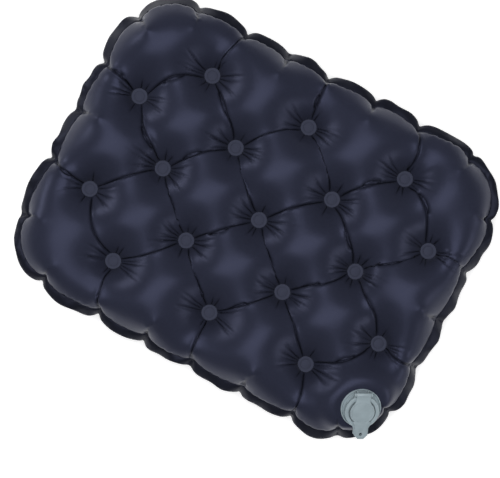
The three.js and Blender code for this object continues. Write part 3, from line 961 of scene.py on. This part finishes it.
def press_wrinkles(quilt, piece, welds):
    """Short wrinkles that fan out from each weld, deepest beside it."""
    rng = np.random.default_rng(quilt.seed + 5)
    reach = 45 * MM
    mesh = piece.data
    points = vertex_array(mesh, "co")
    normals = vertex_array(mesh, "normal")
    moved = points.copy()
    for weld in welds:
        offset = points[:, :2] - weld
        near = np.nonzero(np.hypot(offset[:, 0], offset[:, 1]) < reach)[0]
        for heading, spread, most, longest in WRINKLE_FANS:
            lines = rng.integers(most - 1, most + 1)
            for line in range(lines):
                place = (line + rng.uniform(0.25, 0.75)) / lines
                turned = heading + spread * (2 * place - 1)
                depth = wrinkle_sink(quilt, offset[near], turned, longest, rng)
                moved[near] -= normals[near] * depth[:, None]
    move_vertices(mesh, moved)


def paint_fold_shade(piece, pattern):
    """Stores painted shade for the material: how hollow the surface is at each point, and the lines of its
    folds, where the fabric's colour is darkened to stand for the shade that falls there."""
    mesh = piece.data
    points = vertex_array(mesh, "co")
    normals = vertex_array(mesh, "normal")
    ends = np.zeros(2 * len(mesh.edges), int)
    mesh.edges.foreach_get("vertices", ends)
    a, b = ends[0::2], ends[1::2]
    run = points[b] - points[a]
    length = np.maximum(np.linalg.norm(run, axis=1), 1e-9)
    hollow = np.zeros(len(points))
    count = np.zeros(len(points))
    for near, way in ((a, 1), (b, -1)):
        np.add.at(hollow, near, way * np.einsum("ij,ij->i", normals[near], run) / length)
        np.add.at(count, near, 1)
    hollow /= np.maximum(count, 1)
    spread = hollow.copy()
    np.add.at(spread, a, hollow[b])
    np.add.at(spread, b, hollow[a])
    spread /= count + 1
    # painted shade: the more hollow a point, the darker the fabric's colour is painted there
    least, ramp = 0.035, 0.15  # how hollow the shading starts, and how much more makes it full
    value = np.clip((0.5 * (hollow + spread) - least) / ramp, 0, 1)
    # painted shade along each crease, doubled fold and pucker line
    for near, distance, strength, _ in fold_profiles(flat_places(mesh), pattern):
        line = np.clip(1.2 * strength, 0, 1) * bell(distance, 0.9 * MM)
        value[near] = np.maximum(value[near], line)
    attribute = mesh.attributes.new("fold", "FLOAT", "POINT")
    attribute.data.foreach_set("value", value.astype(np.float32))


# ---- Materials ----


def new_material(name):
    """An empty node material: returns it, its node tree and its shader."""
    material = bpy.data.materials.new(name)
    material.use_nodes = True
    tree = material.node_tree
    return material, tree, tree.nodes["Principled BSDF"]


def add_node(tree, kind, inputs=(), **values):
    """A node with its settings, and its inputs set or linked."""
    node = tree.nodes.new(kind)
    for key, value in values.items():
        setattr(node, key, value)
    for key, value in dict(inputs).items():
        if isinstance(value, bpy.types.NodeSocket):
            tree.links.new(value, node.inputs[key])
        else:
            node.inputs[key].default_value = value
    return node


def mix_colour(tree, factor, first, second):
    """A colour mix; returns its result socket."""
    node = tree.nodes.new("ShaderNodeMix")
    node.data_type = "RGBA"
    for socket, value in ((node.inputs[0], factor), (node.inputs[6], first), (node.inputs[7], second)):
        if isinstance(value, bpy.types.NodeSocket):
            tree.links.new(value, socket)
        else:
            socket.default_value = value
    return node.outputs[2]


def map_range(tree, value, low, high, to_low, to_high):
    """Maps a value from one range to another."""
    node = add_node(tree, "ShaderNodeMapRange", {
        "Value": value, "From Min": low, "From Max": high, "To Min": to_low, "To Max": to_high})
    return node.outputs["Result"]


def noise(tree, coordinates, scale, detail, roughness=0.5):
    """A noise texture's value."""
    node = add_node(tree, "ShaderNodeTexNoise", {
        "Vector": coordinates["Object"], "Scale": scale, "Detail": detail, "Roughness": roughness})
    return node.outputs["Fac"]


def clouded(tree, cloud, low, high):
    """A value or a colour that drifts between two with the clouds."""
    if isinstance(low, tuple):
        return mix_colour(tree, map_range(tree, cloud, 0.3, 0.7, 0, 1), low, high)
    return map_range(tree, cloud, 0.3, 0.7, low, high)


def add_bump(tree, height, strength, distance, under=None):
    """A bump, over another one if given; returns its normal."""
    inputs = {"Height": height, "Strength": strength, "Distance": distance}
    if under:
        inputs["Normal"] = under
    return add_node(tree, "ShaderNodeBump", inputs).outputs["Normal"]


def finish_shader(tree, shader, colour, roughness, normal, values):
    """Links the shader's colour, roughness and normal, and sets its other values."""
    tree.links.new(colour, shader.inputs["Base Color"])
    tree.links.new(roughness, shader.inputs["Roughness"])
    tree.links.new(normal, shader.inputs["Normal"])
    for name, value in values.items():
        shader.inputs[name].default_value = value


def scaled(colour, share):
    """A colour made lighter or darker, with its alpha."""
    return (colour[0] * share, colour[1] * share, colour[2] * share, 1)


SHEEN_TINT = (0.62, 0.66, 0.85, 1)


def coated_fabric(name, colour):
    """Fine plain-weave nylon with a smooth coating: satin, a little sheen, and painted shade that darkens its
    colour in its folds and hollows.
    """
    material, tree, shader = new_material(name)
    coordinates = add_node(tree, "ShaderNodeTexCoord").outputs
    weave_pitch = 0.45 * MM
    one_band = 0.31  # the wave texture's scale that gives one thread to each pitch
    flat = add_node(tree, "ShaderNodeMapping", {
        "Vector": coordinates["UV"], "Scale": (1 / weave_pitch,) * 3}).outputs["Vector"]
    warp, weft = (
        add_node(tree, "ShaderNodeTexWave", {"Vector": flat, "Scale": one_band}, bands_direction=way)
        for way in ("X", "Y"))
    weave = add_node(tree, "ShaderNodeMath", {0: warp.outputs["Fac"], 1: weft.outputs["Fac"]},
                     operation="MAXIMUM")
    mottle = noise(tree, coordinates, 26.0, 4.0, 0.55)
    speckle = noise(tree, coordinates, 420.0, 2.0)
    tone = clouded(tree, mottle, scaled(colour, 0.95), scaled(colour, 1.06))
    tone = mix_colour(tree, map_range(tree, speckle, 0.35, 0.65, 0, 0.35), tone, scaled(colour, 1.22))
    # painted shade: the colour darkens almost to black where the fold attribute marks hollows and crease lines
    fold = add_node(tree, "ShaderNodeAttribute", attribute_name="fold", attribute_type="GEOMETRY")
    tone = mix_colour(tree, fold.outputs["Fac"], tone, scaled(colour, 0.08))
    normal = add_bump(tree, weave.outputs["Value"], 0.25, 0.05 * MM)
    normal = add_bump(tree, noise(tree, coordinates, 90.0, 3.0), 0.06, 0.5 * MM, normal)
    finish_shader(tree, shader, tone, clouded(tree, mottle, 0.32, 0.36), normal, {
        "Specular IOR Level": 0.26, "Specular Tint": (0.46, 0.50, 0.84, 1),
        "Sheen Weight": 0.05, "Sheen Roughness": 0.45, "Sheen Tint": SHEEN_TINT})
    return material


def pressed_film(name, colour, roughness):
    """Fabric fused flat by heat: smoother and a little glossy, with the weave faint in it."""
    material, tree, shader = new_material(name)
    coordinates = add_node(tree, "ShaderNodeTexCoord").outputs
    grain = add_node(tree, "ShaderNodeTexVoronoi", {"Vector": coordinates["Object"], "Scale": 1100.0})
    mottle = noise(tree, coordinates, 60.0, 4.0)
    tone = clouded(tree, mottle, scaled(colour, 0.86), scaled(colour, 1.12))
    rough = clouded(tree, mottle, roughness - 0.05, roughness + 0.06)
    normal = add_bump(tree, grain.outputs["Distance"], 0.3, 0.05 * MM)
    finish_shader(tree, shader, tone, rough, normal, {
        "Specular IOR Level": 0.20, "Specular Tint": (0.5, 0.54, 0.85, 1),
        "Sheen Weight": 0.03, "Sheen Roughness": 0.5, "Sheen Tint": SHEEN_TINT})
    return material


def moulded_plastic(name, colour):
    """Satin moulded plastic with a fine spark-eroded grain, and painted shade: ambient occlusion darkens its
    colour in its crevices.
    """
    material, tree, shader = new_material(name)
    coordinates = add_node(tree, "ShaderNodeTexCoord").outputs
    grain = noise(tree, coordinates, 2600.0, 2.0)
    cloud = noise(tree, coordinates, 120.0, 4.0)
    tone = clouded(tree, cloud, scaled(colour, 0.93), scaled(colour, 1.07))
    # painted shade: ambient occlusion darkens the colour in crevices, grooves and gaps
    crevice_shade = add_node(tree, "ShaderNodeAmbientOcclusion", {"Distance": 3 * MM}, samples=8,
                       only_local=True)
    depth = map_range(tree, crevice_shade.outputs["AO"], 0.30, 0.80, 1, 0)
    tone = mix_colour(tree, depth, tone, scaled(colour, 0.22))
    normal = add_bump(tree, grain, 0.25, 0.06 * MM)
    finish_shader(tree, shader, tone, clouded(tree, cloud, 0.28, 0.36), normal, {
        "Specular IOR Level": 0.5})
    return material


def set_material(piece, material):
    """Makes this the piece's only material."""
    piece.data.materials.clear()
    piece.data.materials.append(material)


def stand_in(piece, node, body, slot, material):
    """Gives the piece its material, puts it on its body and lets it stand for its node."""
    set_material(piece, material)
    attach(piece, body)
    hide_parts(node)


# ---- Pieces ----


WELD_HALF = 0.45 * MM  # half the thickness of a weld, which holds the sheets apart


def outside_hole(points):
    """Whether each point of the top sheet is outside the hole for the valve."""
    hole_radius = 15 * MM
    near_valve = 30 * MM
    axes = np.array(valve_axes())
    local = (points - axes[:3, 3]) @ axes[:3, :3]
    radius = np.hypot(local[:, 0] - BORE_OFFSET * MM, local[:, 1])
    return (radius >= hole_radius) | (np.abs(local[:, 2]) >= near_valve)


class PILLOW_OT_sheets(bpy.types.Operator):
    """Cut, weld and inflate the two fabric sheets"""

    bl_idname = "pillow.sheets"
    bl_label = "Fabric Sheets"

    def execute(self, context):
        quilt = context.scene.pillow_quilt
        pattern = cut_pattern(quilt)
        points, below = inflate(quilt, pattern)
        top, bottom, whole = finish_shape(quilt, pattern, points, below)
        inflated.update(pattern=pattern, whole=whole)
        fabric = coated_fabric("coated_fabric", context.scene.pillow_finish.fabric)
        sheet = pattern["triangles"][pattern["in_sheet"]]
        top_faces = sheet[outside_hole(top)[sheet].any(axis=1)]
        top_piece = cloth_piece("top_sheet", top + (0, 0, WELD_HALF), top_faces, pattern["flat"])
        lowered = bottom - (0, 0, WELD_HALF)
        lowered[:, 2] = np.maximum(lowered[:, 2], 0)
        bottom_piece = cloth_piece("bottom_sheet", lowered, sheet[:, ::-1], pattern["flat"])
        for piece in (top_piece, bottom_piece):
            press_creases(quilt, piece, pattern)
        subdivide(top_piece)
        press_wrinkles(quilt, top_piece, pattern["welds"])
        for piece, node in ((top_piece, "top_panel"), (bottom_piece, "bottom_panel")):
            paint_fold_shade(piece, pattern)
            thicken(piece, quilt.fabric_thickness, -1)
            stand_in(piece, node, "root", "navy_fabric", fabric)
        return {"FINISHED"}


class PILLOW_OT_rim(bpy.types.Operator):
    """Make the welded rim from the inflated cloth"""

    bl_idname = "pillow.rim"
    bl_label = "Welded Rim"

    def execute(self, context):
        pattern = inflated["pattern"]
        faces = pattern["triangles"][pattern["in_rim"]]
        rim = cloth_piece("rim_band", inflated["whole"], faces, pattern["flat"])
        subdivide(rim)
        thicken(rim, 2 * WELD_HALF, 0)
        # the rim's colour holds painted shade for the drooping rim
        material = pressed_film("pressed_rim", context.scene.pillow_finish.rim, 0.42)
        stand_in(rim, "rim_weld", "root", "welded_rim", material)
        return {"FINISHED"}


class PILLOW_OT_welds(bpy.types.Operator):
    """Make the round spot welds"""

    bl_idname = "pillow.welds"
    bl_label = "Spot Welds"

    def execute(self, context):
        quilt = context.scene.pillow_quilt
        material = pressed_film("pressed_weld", context.scene.pillow_finish.weld, 0.5)
        for name, centre in zip(WELD_NAMES, weld_centres()):
            piece = spot_weld(name.replace("weld_spot", "weld_disc"), centre, quilt.weld_radius)
            stand_in(piece, name, "root", "weld_spot", material)
        return {"FINISHED"}


def settle_piece(piece, name):
    """Names a piece just made and puts its place into its mesh."""
    bpy.ops.object.mode_set(mode="OBJECT")
    piece.name = name
    piece.data.name = name
    bpy.ops.object.transform_apply(location=True, rotation=True, scale=True)
    return piece


def select_faces(piece, wanted):
    """Selects the faces that a test picks, in edit mode."""
    shape = bmesh.from_edit_mesh(piece.data)
    for face in shape.faces:
        face.select_set(wanted(face))
    bmesh.update_edit_mesh(piece.data)


def ease_edges(piece, width, segments, sharp_angle, smooth_angle):
    """Rounds the piece's sharp edges and shades the rest smooth; angles in degrees."""
    bevel = piece.modifiers.new("Edge", "BEVEL")
    bevel.width = width
    bevel.segments = segments
    bevel.limit_method = "ANGLE"
    bevel.angle_limit = math.radians(sharp_angle)
    bpy.ops.object.modifier_apply(modifier=bevel.name)
    bpy.ops.object.shade_smooth_by_angle(angle=math.radians(smooth_angle))


def spot_weld(name, centre, radius):
    """A thin round disc with a rounded edge and a faint pressed ring on both faces."""
    overlap = 0.3 * MM
    thickness = 1.3 * MM
    ring_inset, ring_slope = 2.9 * MM, 0.35 * MM
    ring_depth, ring_rise = 0.18 * MM, 0.10 * MM
    bpy.ops.object.select_all(action="DESELECT")
    bpy.ops.mesh.primitive_cylinder_add(
        vertices=64, radius=radius + overlap, depth=thickness, location=(*centre, MID_HEIGHT))
    piece = bpy.context.object
    bpy.ops.object.mode_set(mode="EDIT")
    bpy.ops.mesh.select_mode(type="FACE")
    for side in (1, -1):
        select_faces(piece, lambda face: face.normal.z * side > 0.9)
        bpy.ops.mesh.inset(thickness=ring_inset)
        bpy.ops.mesh.inset(thickness=ring_slope)
        bpy.ops.transform.translate(value=(0, 0, -side * ring_depth))
        bpy.ops.mesh.inset(thickness=ring_slope)
        bpy.ops.transform.translate(value=(0, 0, side * ring_rise))
    settle_piece(piece, name)
    ease_edges(piece, 0.2 * MM, 3, 50, 40)
    return piece


def turned_solid(profile, middle=0.0, sides=96, hole=False):
    """A round solid in the valve's frame, raised ring by ring from (radius, height) pairs in
    millimetres. With a hole, the last ring is the first again and both ends open into it."""
    radius, height = profile[0]
    bpy.ops.object.select_all(action="DESELECT")
    bpy.ops.mesh.primitive_circle_add(
        vertices=sides, radius=radius * MM, fill_type="NGON", location=(middle * MM, 0, height * MM))
    piece = bpy.context.object
    bpy.ops.object.transform_apply(location=True, rotation=False, scale=False)
    bpy.ops.object.mode_set(mode="EDIT")
    bpy.ops.mesh.select_mode(type="FACE")
    bpy.ops.mesh.select_all(action="SELECT")
    for (last_radius, last_height), (radius, height) in zip(profile, profile[1:]):
        rise = (height - last_height) * MM
        bpy.ops.mesh.extrude_region_move(TRANSFORM_OT_translate={"value": (0, 0, rise)})
        share = radius / last_radius
        bpy.ops.transform.resize(
            value=(share, share, 1), center_override=(middle * MM, 0, height * MM))
    if hole:
        select_faces(piece, lambda face: len(face.verts) == sides)
        bpy.ops.mesh.delete(type="ONLY_FACE")
        bpy.ops.mesh.select_all(action="SELECT")
        bpy.ops.mesh.remove_doubles(threshold=0.01 * MM)
    bpy.ops.mesh.select_all(action="SELECT")
    bpy.ops.mesh.normals_make_consistent(inside=False)
    bpy.ops.object.mode_set(mode="OBJECT")
    return piece


def block(x, y, z, far_width=None):
    """A block between two places on each axis, in millimetres; its far end may be wider or
    narrower."""
    place = ((x[0] + x[1]) / 2 * MM, (y[0] + y[1]) / 2 * MM, (z[0] + z[1]) / 2 * MM)
    size = ((x[1] - x[0]) * MM, (y[1] - y[0]) * MM, (z[1] - z[0]) * MM)
    bpy.ops.object.select_all(action="DESELECT")
    bpy.ops.mesh.primitive_cube_add(size=1, location=place, scale=size)
    piece = bpy.context.object
    bpy.ops.object.transform_apply(location=True, rotation=False, scale=True)
    if far_width:
        bpy.ops.object.mode_set(mode="EDIT")
        bpy.ops.mesh.select_mode(type="FACE")
        select_faces(piece, lambda face: face.normal.x > 0.9)
        share = far_width / (y[1] - y[0])
        bpy.ops.transform.resize(value=(1, share, 1), center_override=place)
        bpy.ops.object.mode_set(mode="OBJECT")
    return piece


def bar(radius, from_y, to_y, x, z, sides=40):
    """A round bar across the valve, in millimetres."""
    bpy.ops.object.select_all(action="DESELECT")
    bpy.ops.mesh.primitive_cylinder_add(
        vertices=sides, radius=radius * MM, depth=(to_y - from_y) * MM,
        location=(x * MM, (from_y + to_y) / 2 * MM, z * MM), rotation=(math.pi / 2, 0, 0))
    piece = bpy.context.object
    bpy.ops.object.transform_apply(location=True, rotation=True, scale=False)
    return piece


def combine(piece, others, operation):
    """Joins the others to the piece, or cuts them out of it."""
    for other in others:
        select_only(piece)
        modifier = piece.modifiers.new("Combine", "BOOLEAN")
        modifier.operation = operation
        modifier.solver = "EXACT"
        modifier.object = other
        bpy.ops.object.modifier_apply(modifier=modifier.name)
        bpy.data.objects.remove(other)
    return piece


def ears(inner, radius, pin, foot_front, foot_low):
    """The two ears that hold a hinge's pin: a foot with a round top, on each side."""
    pin_x, pin_z = pin
    pieces = []
    for near, far in ((inner, inner + EAR_THICKNESS), (-inner - EAR_THICKNESS, -inner)):
        pieces.append(block((pin_x - radius, pin_x + radius), (near, far), (foot_low, pin_z)))
        pieces.append(bar(radius, near, far, *pin))
        if foot_front > pin_x + radius:
            pieces.append(block((pin_x, foot_front), (near, far), (foot_low, foot_low + radius)))
    return pieces


def pull_tab(half, end, low, inner):
    """A flat tab with chamfered corners and flared shoulders, from the ring to its end."""
    chamfer = 3.6
    flare = 2.2
    shoulder_length = 4.2
    overlap = 0.01
    heights = (low, low + TAB_THICKNESS)
    tab = block((inner, end - chamfer), (-half, half), heights)
    tip = block(
        (end - chamfer - overlap, end), (-half, half), heights, far_width=2 * (half - chamfer))
    shoulder = block(
        (inner, inner + shoulder_length), (-half - flare, half + flare), heights, far_width=2 * half)
    return [tab, tip, shoulder]


def pin_hole(radius, pin):
    """What cuts a hinge pin's hole, right across the valve."""
    reach = 14
    return bar(radius, -reach, reach, *pin)


def tab_hole(low, high):
    """What cuts the hole near the end of a tab."""
    profile = [(TAB_HOLE_RADIUS, low - PAST), (TAB_HOLE_RADIUS, high + PAST)]
    return turned_solid(profile, TAB_REACH - TAB_HOLE_BACK, 40)


def finish_part(piece, name, edge_width):
    """Eases the part's edges, then puts it in the valve's place."""
    select_only(piece)
    bpy.ops.object.mode_set(mode="EDIT")
    bpy.ops.mesh.select_all(action="SELECT")
    bpy.ops.mesh.remove_doubles(threshold=0.004 * MM)
    bpy.ops.mesh.dissolve_limited(angle_limit=math.radians(0.5))
    bpy.ops.mesh.normals_make_consistent(inside=False)
    settle_piece(piece, name)
    ease_edges(piece, edge_width * MM, 2, 35, 32)
    piece.data.transform(valve_axes())
    return piece


def valve_base():
    """The flange on the fabric, its rounded lip and groove, the collar and the hinge's ears."""
    flange = turned_solid([
        (13.0, 0.3), (19.2, 0.3), (19.2, 1.9), (18.9, 2.3), (18.4, 2.3), (18.1, 1.8), (17.7, 0.9),
        (15.6, 0.9), (15.2, 1.8), (13.0, 1.8), (13.0, 0.3)], hole=True)
    collar = turned_solid([
        (12.4, -5.0), (14.0, -5.0), (14.6, -4.4), (14.6, 5.5), (12.4, 5.5), (12.4, -5.0)],
        BORE_OFFSET, hole=True)
    groove_floor = 0.9
    radius = 1.6
    base_ears = ears(PLUG_KNUCKLE + EAR_GAP, radius, PLUG_PIN, PLUG_PIN[0] + radius, groove_floor)
    base = combine(flange, [collar] + base_ears, "UNION")
    return combine(base, [pin_hole(1.0, PLUG_PIN)], "DIFFERENCE")


def deflate_plug():
    """The plug that lets the air out: a skirt in the bore, a ring over the collar, the vents in its
    floor, the lower tab, and both hinges."""
    body = turned_solid([
        (11.3, -3.0), (12.1, 1.4), (12.1, 5.8), (15.6, 5.8), (16.2, 6.3), (16.2, 8.0), (15.7, 8.5),
        (12.9, 8.5), (12.7, 6.9), (11.0, 6.9), (10.9, 8.5), (8.5, 8.5), (8.5, 5.8), (9.5, 5.8),
        (9.5, FLOOR_HIGH), (2.6, FLOOR_HIGH)], BORE_OFFSET)
    radius = 1.6
    low = RING_HIGH - TAB_THICKNESS - 0.3
    tabs = pull_tab(7.2, TAB_REACH - 0.9, low, BORE_OFFSET + 12.2)
    knuckle = bar(radius, -PLUG_KNUCKLE, PLUG_KNUCKLE, *PLUG_PIN)
    strap = block(
        (PLUG_PIN[0] - radius, BORE_OFFSET - 14.9), (-PLUG_KNUCKLE, PLUG_KNUCKLE),
        (PLUG_PIN[1], RING_HIGH))
    ear_inner = CAP_STRAP + EAR_GAP
    hinge_ears = ears(ear_inner, 2.0, CAP_PIN, BORE_OFFSET - 12.4, RING_LOW)
    plug = combine(body, [knuckle, strap] + hinge_ears + tabs, "UNION")
    floor_cut = (FLOOR_HIGH - 2.5, FLOOR_HIGH + 1.5)
    stem_hole = 1.2
    cuts = [
        bar(2.3, -ear_inner, ear_inner, *CAP_PIN),
        pin_hole(1.1, CAP_PIN),
        pin_hole(1.0, PLUG_PIN),
        tab_hole(low, RING_HIGH),
        turned_solid([(stem_hole, height) for height in floor_cut], BORE_OFFSET, 32),
    ]
    vents, vent_radius, vent_circle = 6, 2.0, 5.2
    for i in range(vents):
        angle = 2 * math.pi * i / vents
        profile = [(vent_radius, height) for height in floor_cut]
        vent = turned_solid(profile, BORE_OFFSET + vent_circle * math.cos(angle), 32)
        vent.data.transform(Matrix.Translation((0, vent_circle * MM * math.sin(angle), 0)))
        cuts.append(vent)
    return combine(plug, cuts, "DIFFERENCE")


def inflate_cap():
    """The round cap over the port, its strap, its barrel on the hinge and its pull tab."""
    body = turned_solid([
        (7.0, CAP_LOW), (7.0, 6.2), (8.0, 6.2), (8.2, 6.5), (8.2, CAP_LOW), (11.2, CAP_LOW),
        (11.6, 9.1), (11.6, 9.9), (11.2, CAP_HIGH), (10.3, CAP_HIGH), (10.1, 10.12), (9.7, 10.12),
        (9.5, CAP_HIGH), (3.0, CAP_HIGH)], BORE_OFFSET)
    across = (-CAP_STRAP, CAP_STRAP)
    heights = (CAP_LOW, CAP_HIGH - 0.05)
    strap = block((CAP_PIN[0], BORE_OFFSET - 8.8), across, heights)
    strap_root = block((-10.3, BORE_OFFSET - 7.9), across, heights, far_width=17)
    barrel = bar(2.0, *across, *CAP_PIN)
    tabs = pull_tab(12.6 / 2, TAB_REACH, CAP_LOW, BORE_OFFSET + 9.0)
    cap = combine(body, [strap, strap_root, barrel] + tabs, "UNION")
    return combine(cap, [pin_hole(1.1, CAP_PIN), tab_hole(CAP_LOW, CAP_HIGH)], "DIFFERENCE")


def check_diaphragm():
    """A thin disc under the plug's floor, held by a stem with a cone head."""
    return turned_solid([
        (8.2, -4.1), (8.4, -3.9), (8.2, -3.3), (0.9, -3.3), (0.9, 0.0), (1.9, 0.0), (0.9, 1.6)],
        BORE_OFFSET, 48)


def plug_hinge_pin():
    """The pin that the plug turns on, through the base's ears."""
    half = PLUG_KNUCKLE + EAR_GAP + EAR_THICKNESS
    return bar(0.7, -half, half, *PLUG_PIN)


def cap_hinge_pin():
    """The pin that the cap turns on, through the plug's ears."""
    half = CAP_STRAP + EAR_GAP + EAR_THICKNESS
    return bar(0.8, -half, half, *CAP_PIN)


class PILLOW_OT_valve(bpy.types.Operator):
    """Build the valve: its base, the deflate plug, the inflate cap and what they turn on"""

    bl_idname = "pillow.valve"
    bl_label = "Valve"

    def execute(self, context):
        finish = context.scene.pillow_finish
        plastic = moulded_plastic("valve_plastic", finish.valve)
        silicone = moulded_plastic("clear_silicone", finish.silicone)
        parts = (
            ("valve_base", valve_base, 0.18, "root", plastic, "valve_plastic"),
            ("deflate_plug", deflate_plug, 0.18, "plug", plastic, "valve_plastic"),
            ("inflate_cap", inflate_cap, 0.2, "cap", plastic, "valve_plastic"),
            ("check_diaphragm", check_diaphragm, 0.1, "diaphragm", silicone, "silicone"),
            ("plug_hinge_pin", plug_hinge_pin, 0.2, "root", plastic, "valve_plastic"),
            ("cap_hinge_pin", cap_hinge_pin, 0.2, "plug", plastic, "valve_plastic"),
        )
        for node, build, edge_width, body, material, slot in parts:
            piece = finish_part(build(), node + "_part", edge_width)
            stand_in(piece, node, body, slot, material)
        return {"FINISHED"}


# ---- Stage ----


class PILLOW_OT_stage(bpy.types.Operator):
    """Add the floor, the lights and the camera"""

    bl_idname = "pillow.stage"
    bl_label = "Stage"

    def execute(self, context):
        stage = context.scene.pillow_stage
        add_floor(stage)
        add_sky(stage)
        right, up = view_axes(stage)
        add_area_light("key_light", Vector((-1.5, 0.1, 0.58)), 0.5, 0.35, stage.key_power)
        add_area_light("fill_light", Vector((1.5, 0.05, 0.62)), 0.5, 0.35, stage.fill_power)
        add_area_light("top_light", Vector((-0.15, 0, 2.6)), 3.2, 2.1, stage.top_power)
        add_camera(stage, right, up)
        context.scene.view_settings.view_transform = "Standard"
        return {"FINISHED"}


def view_axes(stage):
    """Which way the view's right and up lie on the floor."""
    right = Vector((math.cos(stage.turn), math.sin(stage.turn), 0))
    up = Vector((-math.sin(stage.turn), math.cos(stage.turn), 0))
    return right, up


def add_floor(stage):
    """A plain pale floor under the pillow."""
    bpy.ops.object.select_all(action="DESELECT")
    bpy.ops.mesh.primitive_plane_add(size=stage.floor_size, location=(0, 0, 0))
    floor = bpy.context.object
    floor.name = "floor"
    material, tree, shader = new_material("pale_floor")
    shader.inputs["Base Color"].default_value = (*stage.floor_colour, 1)
    shader.inputs["Roughness"].default_value = 0.9
    shader.inputs["Emission Color"].default_value = (1, 1, 1, 1)
    shader.inputs["Emission Strength"].default_value = stage.floor_glow
    set_material(floor, material)


def add_sky(stage):
    """Even white light from all round."""
    world = bpy.data.worlds.new("studio")
    world.use_nodes = True
    background = world.node_tree.nodes["Background"]
    background.inputs["Color"].default_value = (1, 1, 1, 1)
    background.inputs["Strength"].default_value = stage.sky_strength
    bpy.context.scene.world = world


def add_area_light(name, place, width, depth, power):
    """A soft oblong light that faces the pillow."""
    data = bpy.data.lights.new(name, "AREA")
    data.shape = "RECTANGLE"
    data.size = width
    data.size_y = depth
    data.energy = power
    light = bpy.data.objects.new(name, data)
    light.location = place
    towards = Vector((0, 0, MID_HEIGHT)) - place
    light.rotation_euler = towards.to_track_quat("-Z", "Y").to_euler()
    bpy.context.scene.collection.objects.link(light)


def add_camera(stage, right, up):
    """A camera straight over the pillow, turned in its own plane, a little off its middle."""
    data = bpy.data.cameras.new("camera")
    data.lens = stage.lens
    data.sensor_width = 36
    camera = bpy.data.objects.new("camera", data)
    distance = stage.view_width * stage.lens / data.sensor_width
    left, down = 8.6, 18.1  # in millimetres
    middle = -right * left * MM - up * down * MM
    place = middle + Vector((0, 0, MID_HEIGHT + distance))
    turn = Matrix((right, up, Vector((0, 0, 1)))).transposed().to_4x4()
    camera.matrix_world = Matrix.Translation(place) @ turn
    bpy.context.scene.collection.objects.link(camera)
    bpy.context.scene.camera = camera


# ---- Add-on ----


class PILLOW_PT_panel(bpy.types.Panel):
    """Lists the pillow's settings and its pieces."""

    bl_idname = "PILLOW_PT_panel"
    bl_label = "Camp Pillow"
    bl_space_type = "VIEW_3D"
    bl_region_type = "UI"
    bl_category = "Camp Pillow"

    def draw(self, context):
        layout = self.layout
        for group_name, _ in SETTINGS:
            settings = getattr(context.scene, group_name)
            box = layout.box()
            for name in settings.__annotations__:
                box.prop(settings, name)
        for operator in OPERATORS:
            layout.operator(operator.bl_idname)


OPERATORS = (
    PILLOW_OT_sheets,
    PILLOW_OT_rim,
    PILLOW_OT_welds,
    PILLOW_OT_valve,
    PILLOW_OT_stage,
)
SETTINGS = (
    ("pillow_quilt", QuiltSettings),
    ("pillow_finish", FinishSettings),
    ("pillow_stage", StageSettings),
)


def register():
    for name, group in SETTINGS:
        bpy.utils.register_class(group)
        setattr(bpy.types.Scene, name, PointerProperty(type=group))
    for operator in OPERATORS:
        bpy.utils.register_class(operator)
    bpy.utils.register_class(PILLOW_PT_panel)


def unregister():
    bpy.utils.unregister_class(PILLOW_PT_panel)
    for operator in reversed(OPERATORS):
        bpy.utils.unregister_class(operator)
    for name, group in reversed(SETTINGS):
        delattr(bpy.types.Scene, name)
        bpy.utils.unregister_class(group)


def main():
    register()
    bpy.ops.pillow.sheets()
    bpy.ops.pillow.rim()
    bpy.ops.pillow.welds()
    bpy.ops.pillow.valve()
    bpy.ops.pillow.stage()


if __name__ == "__main__":
    main()
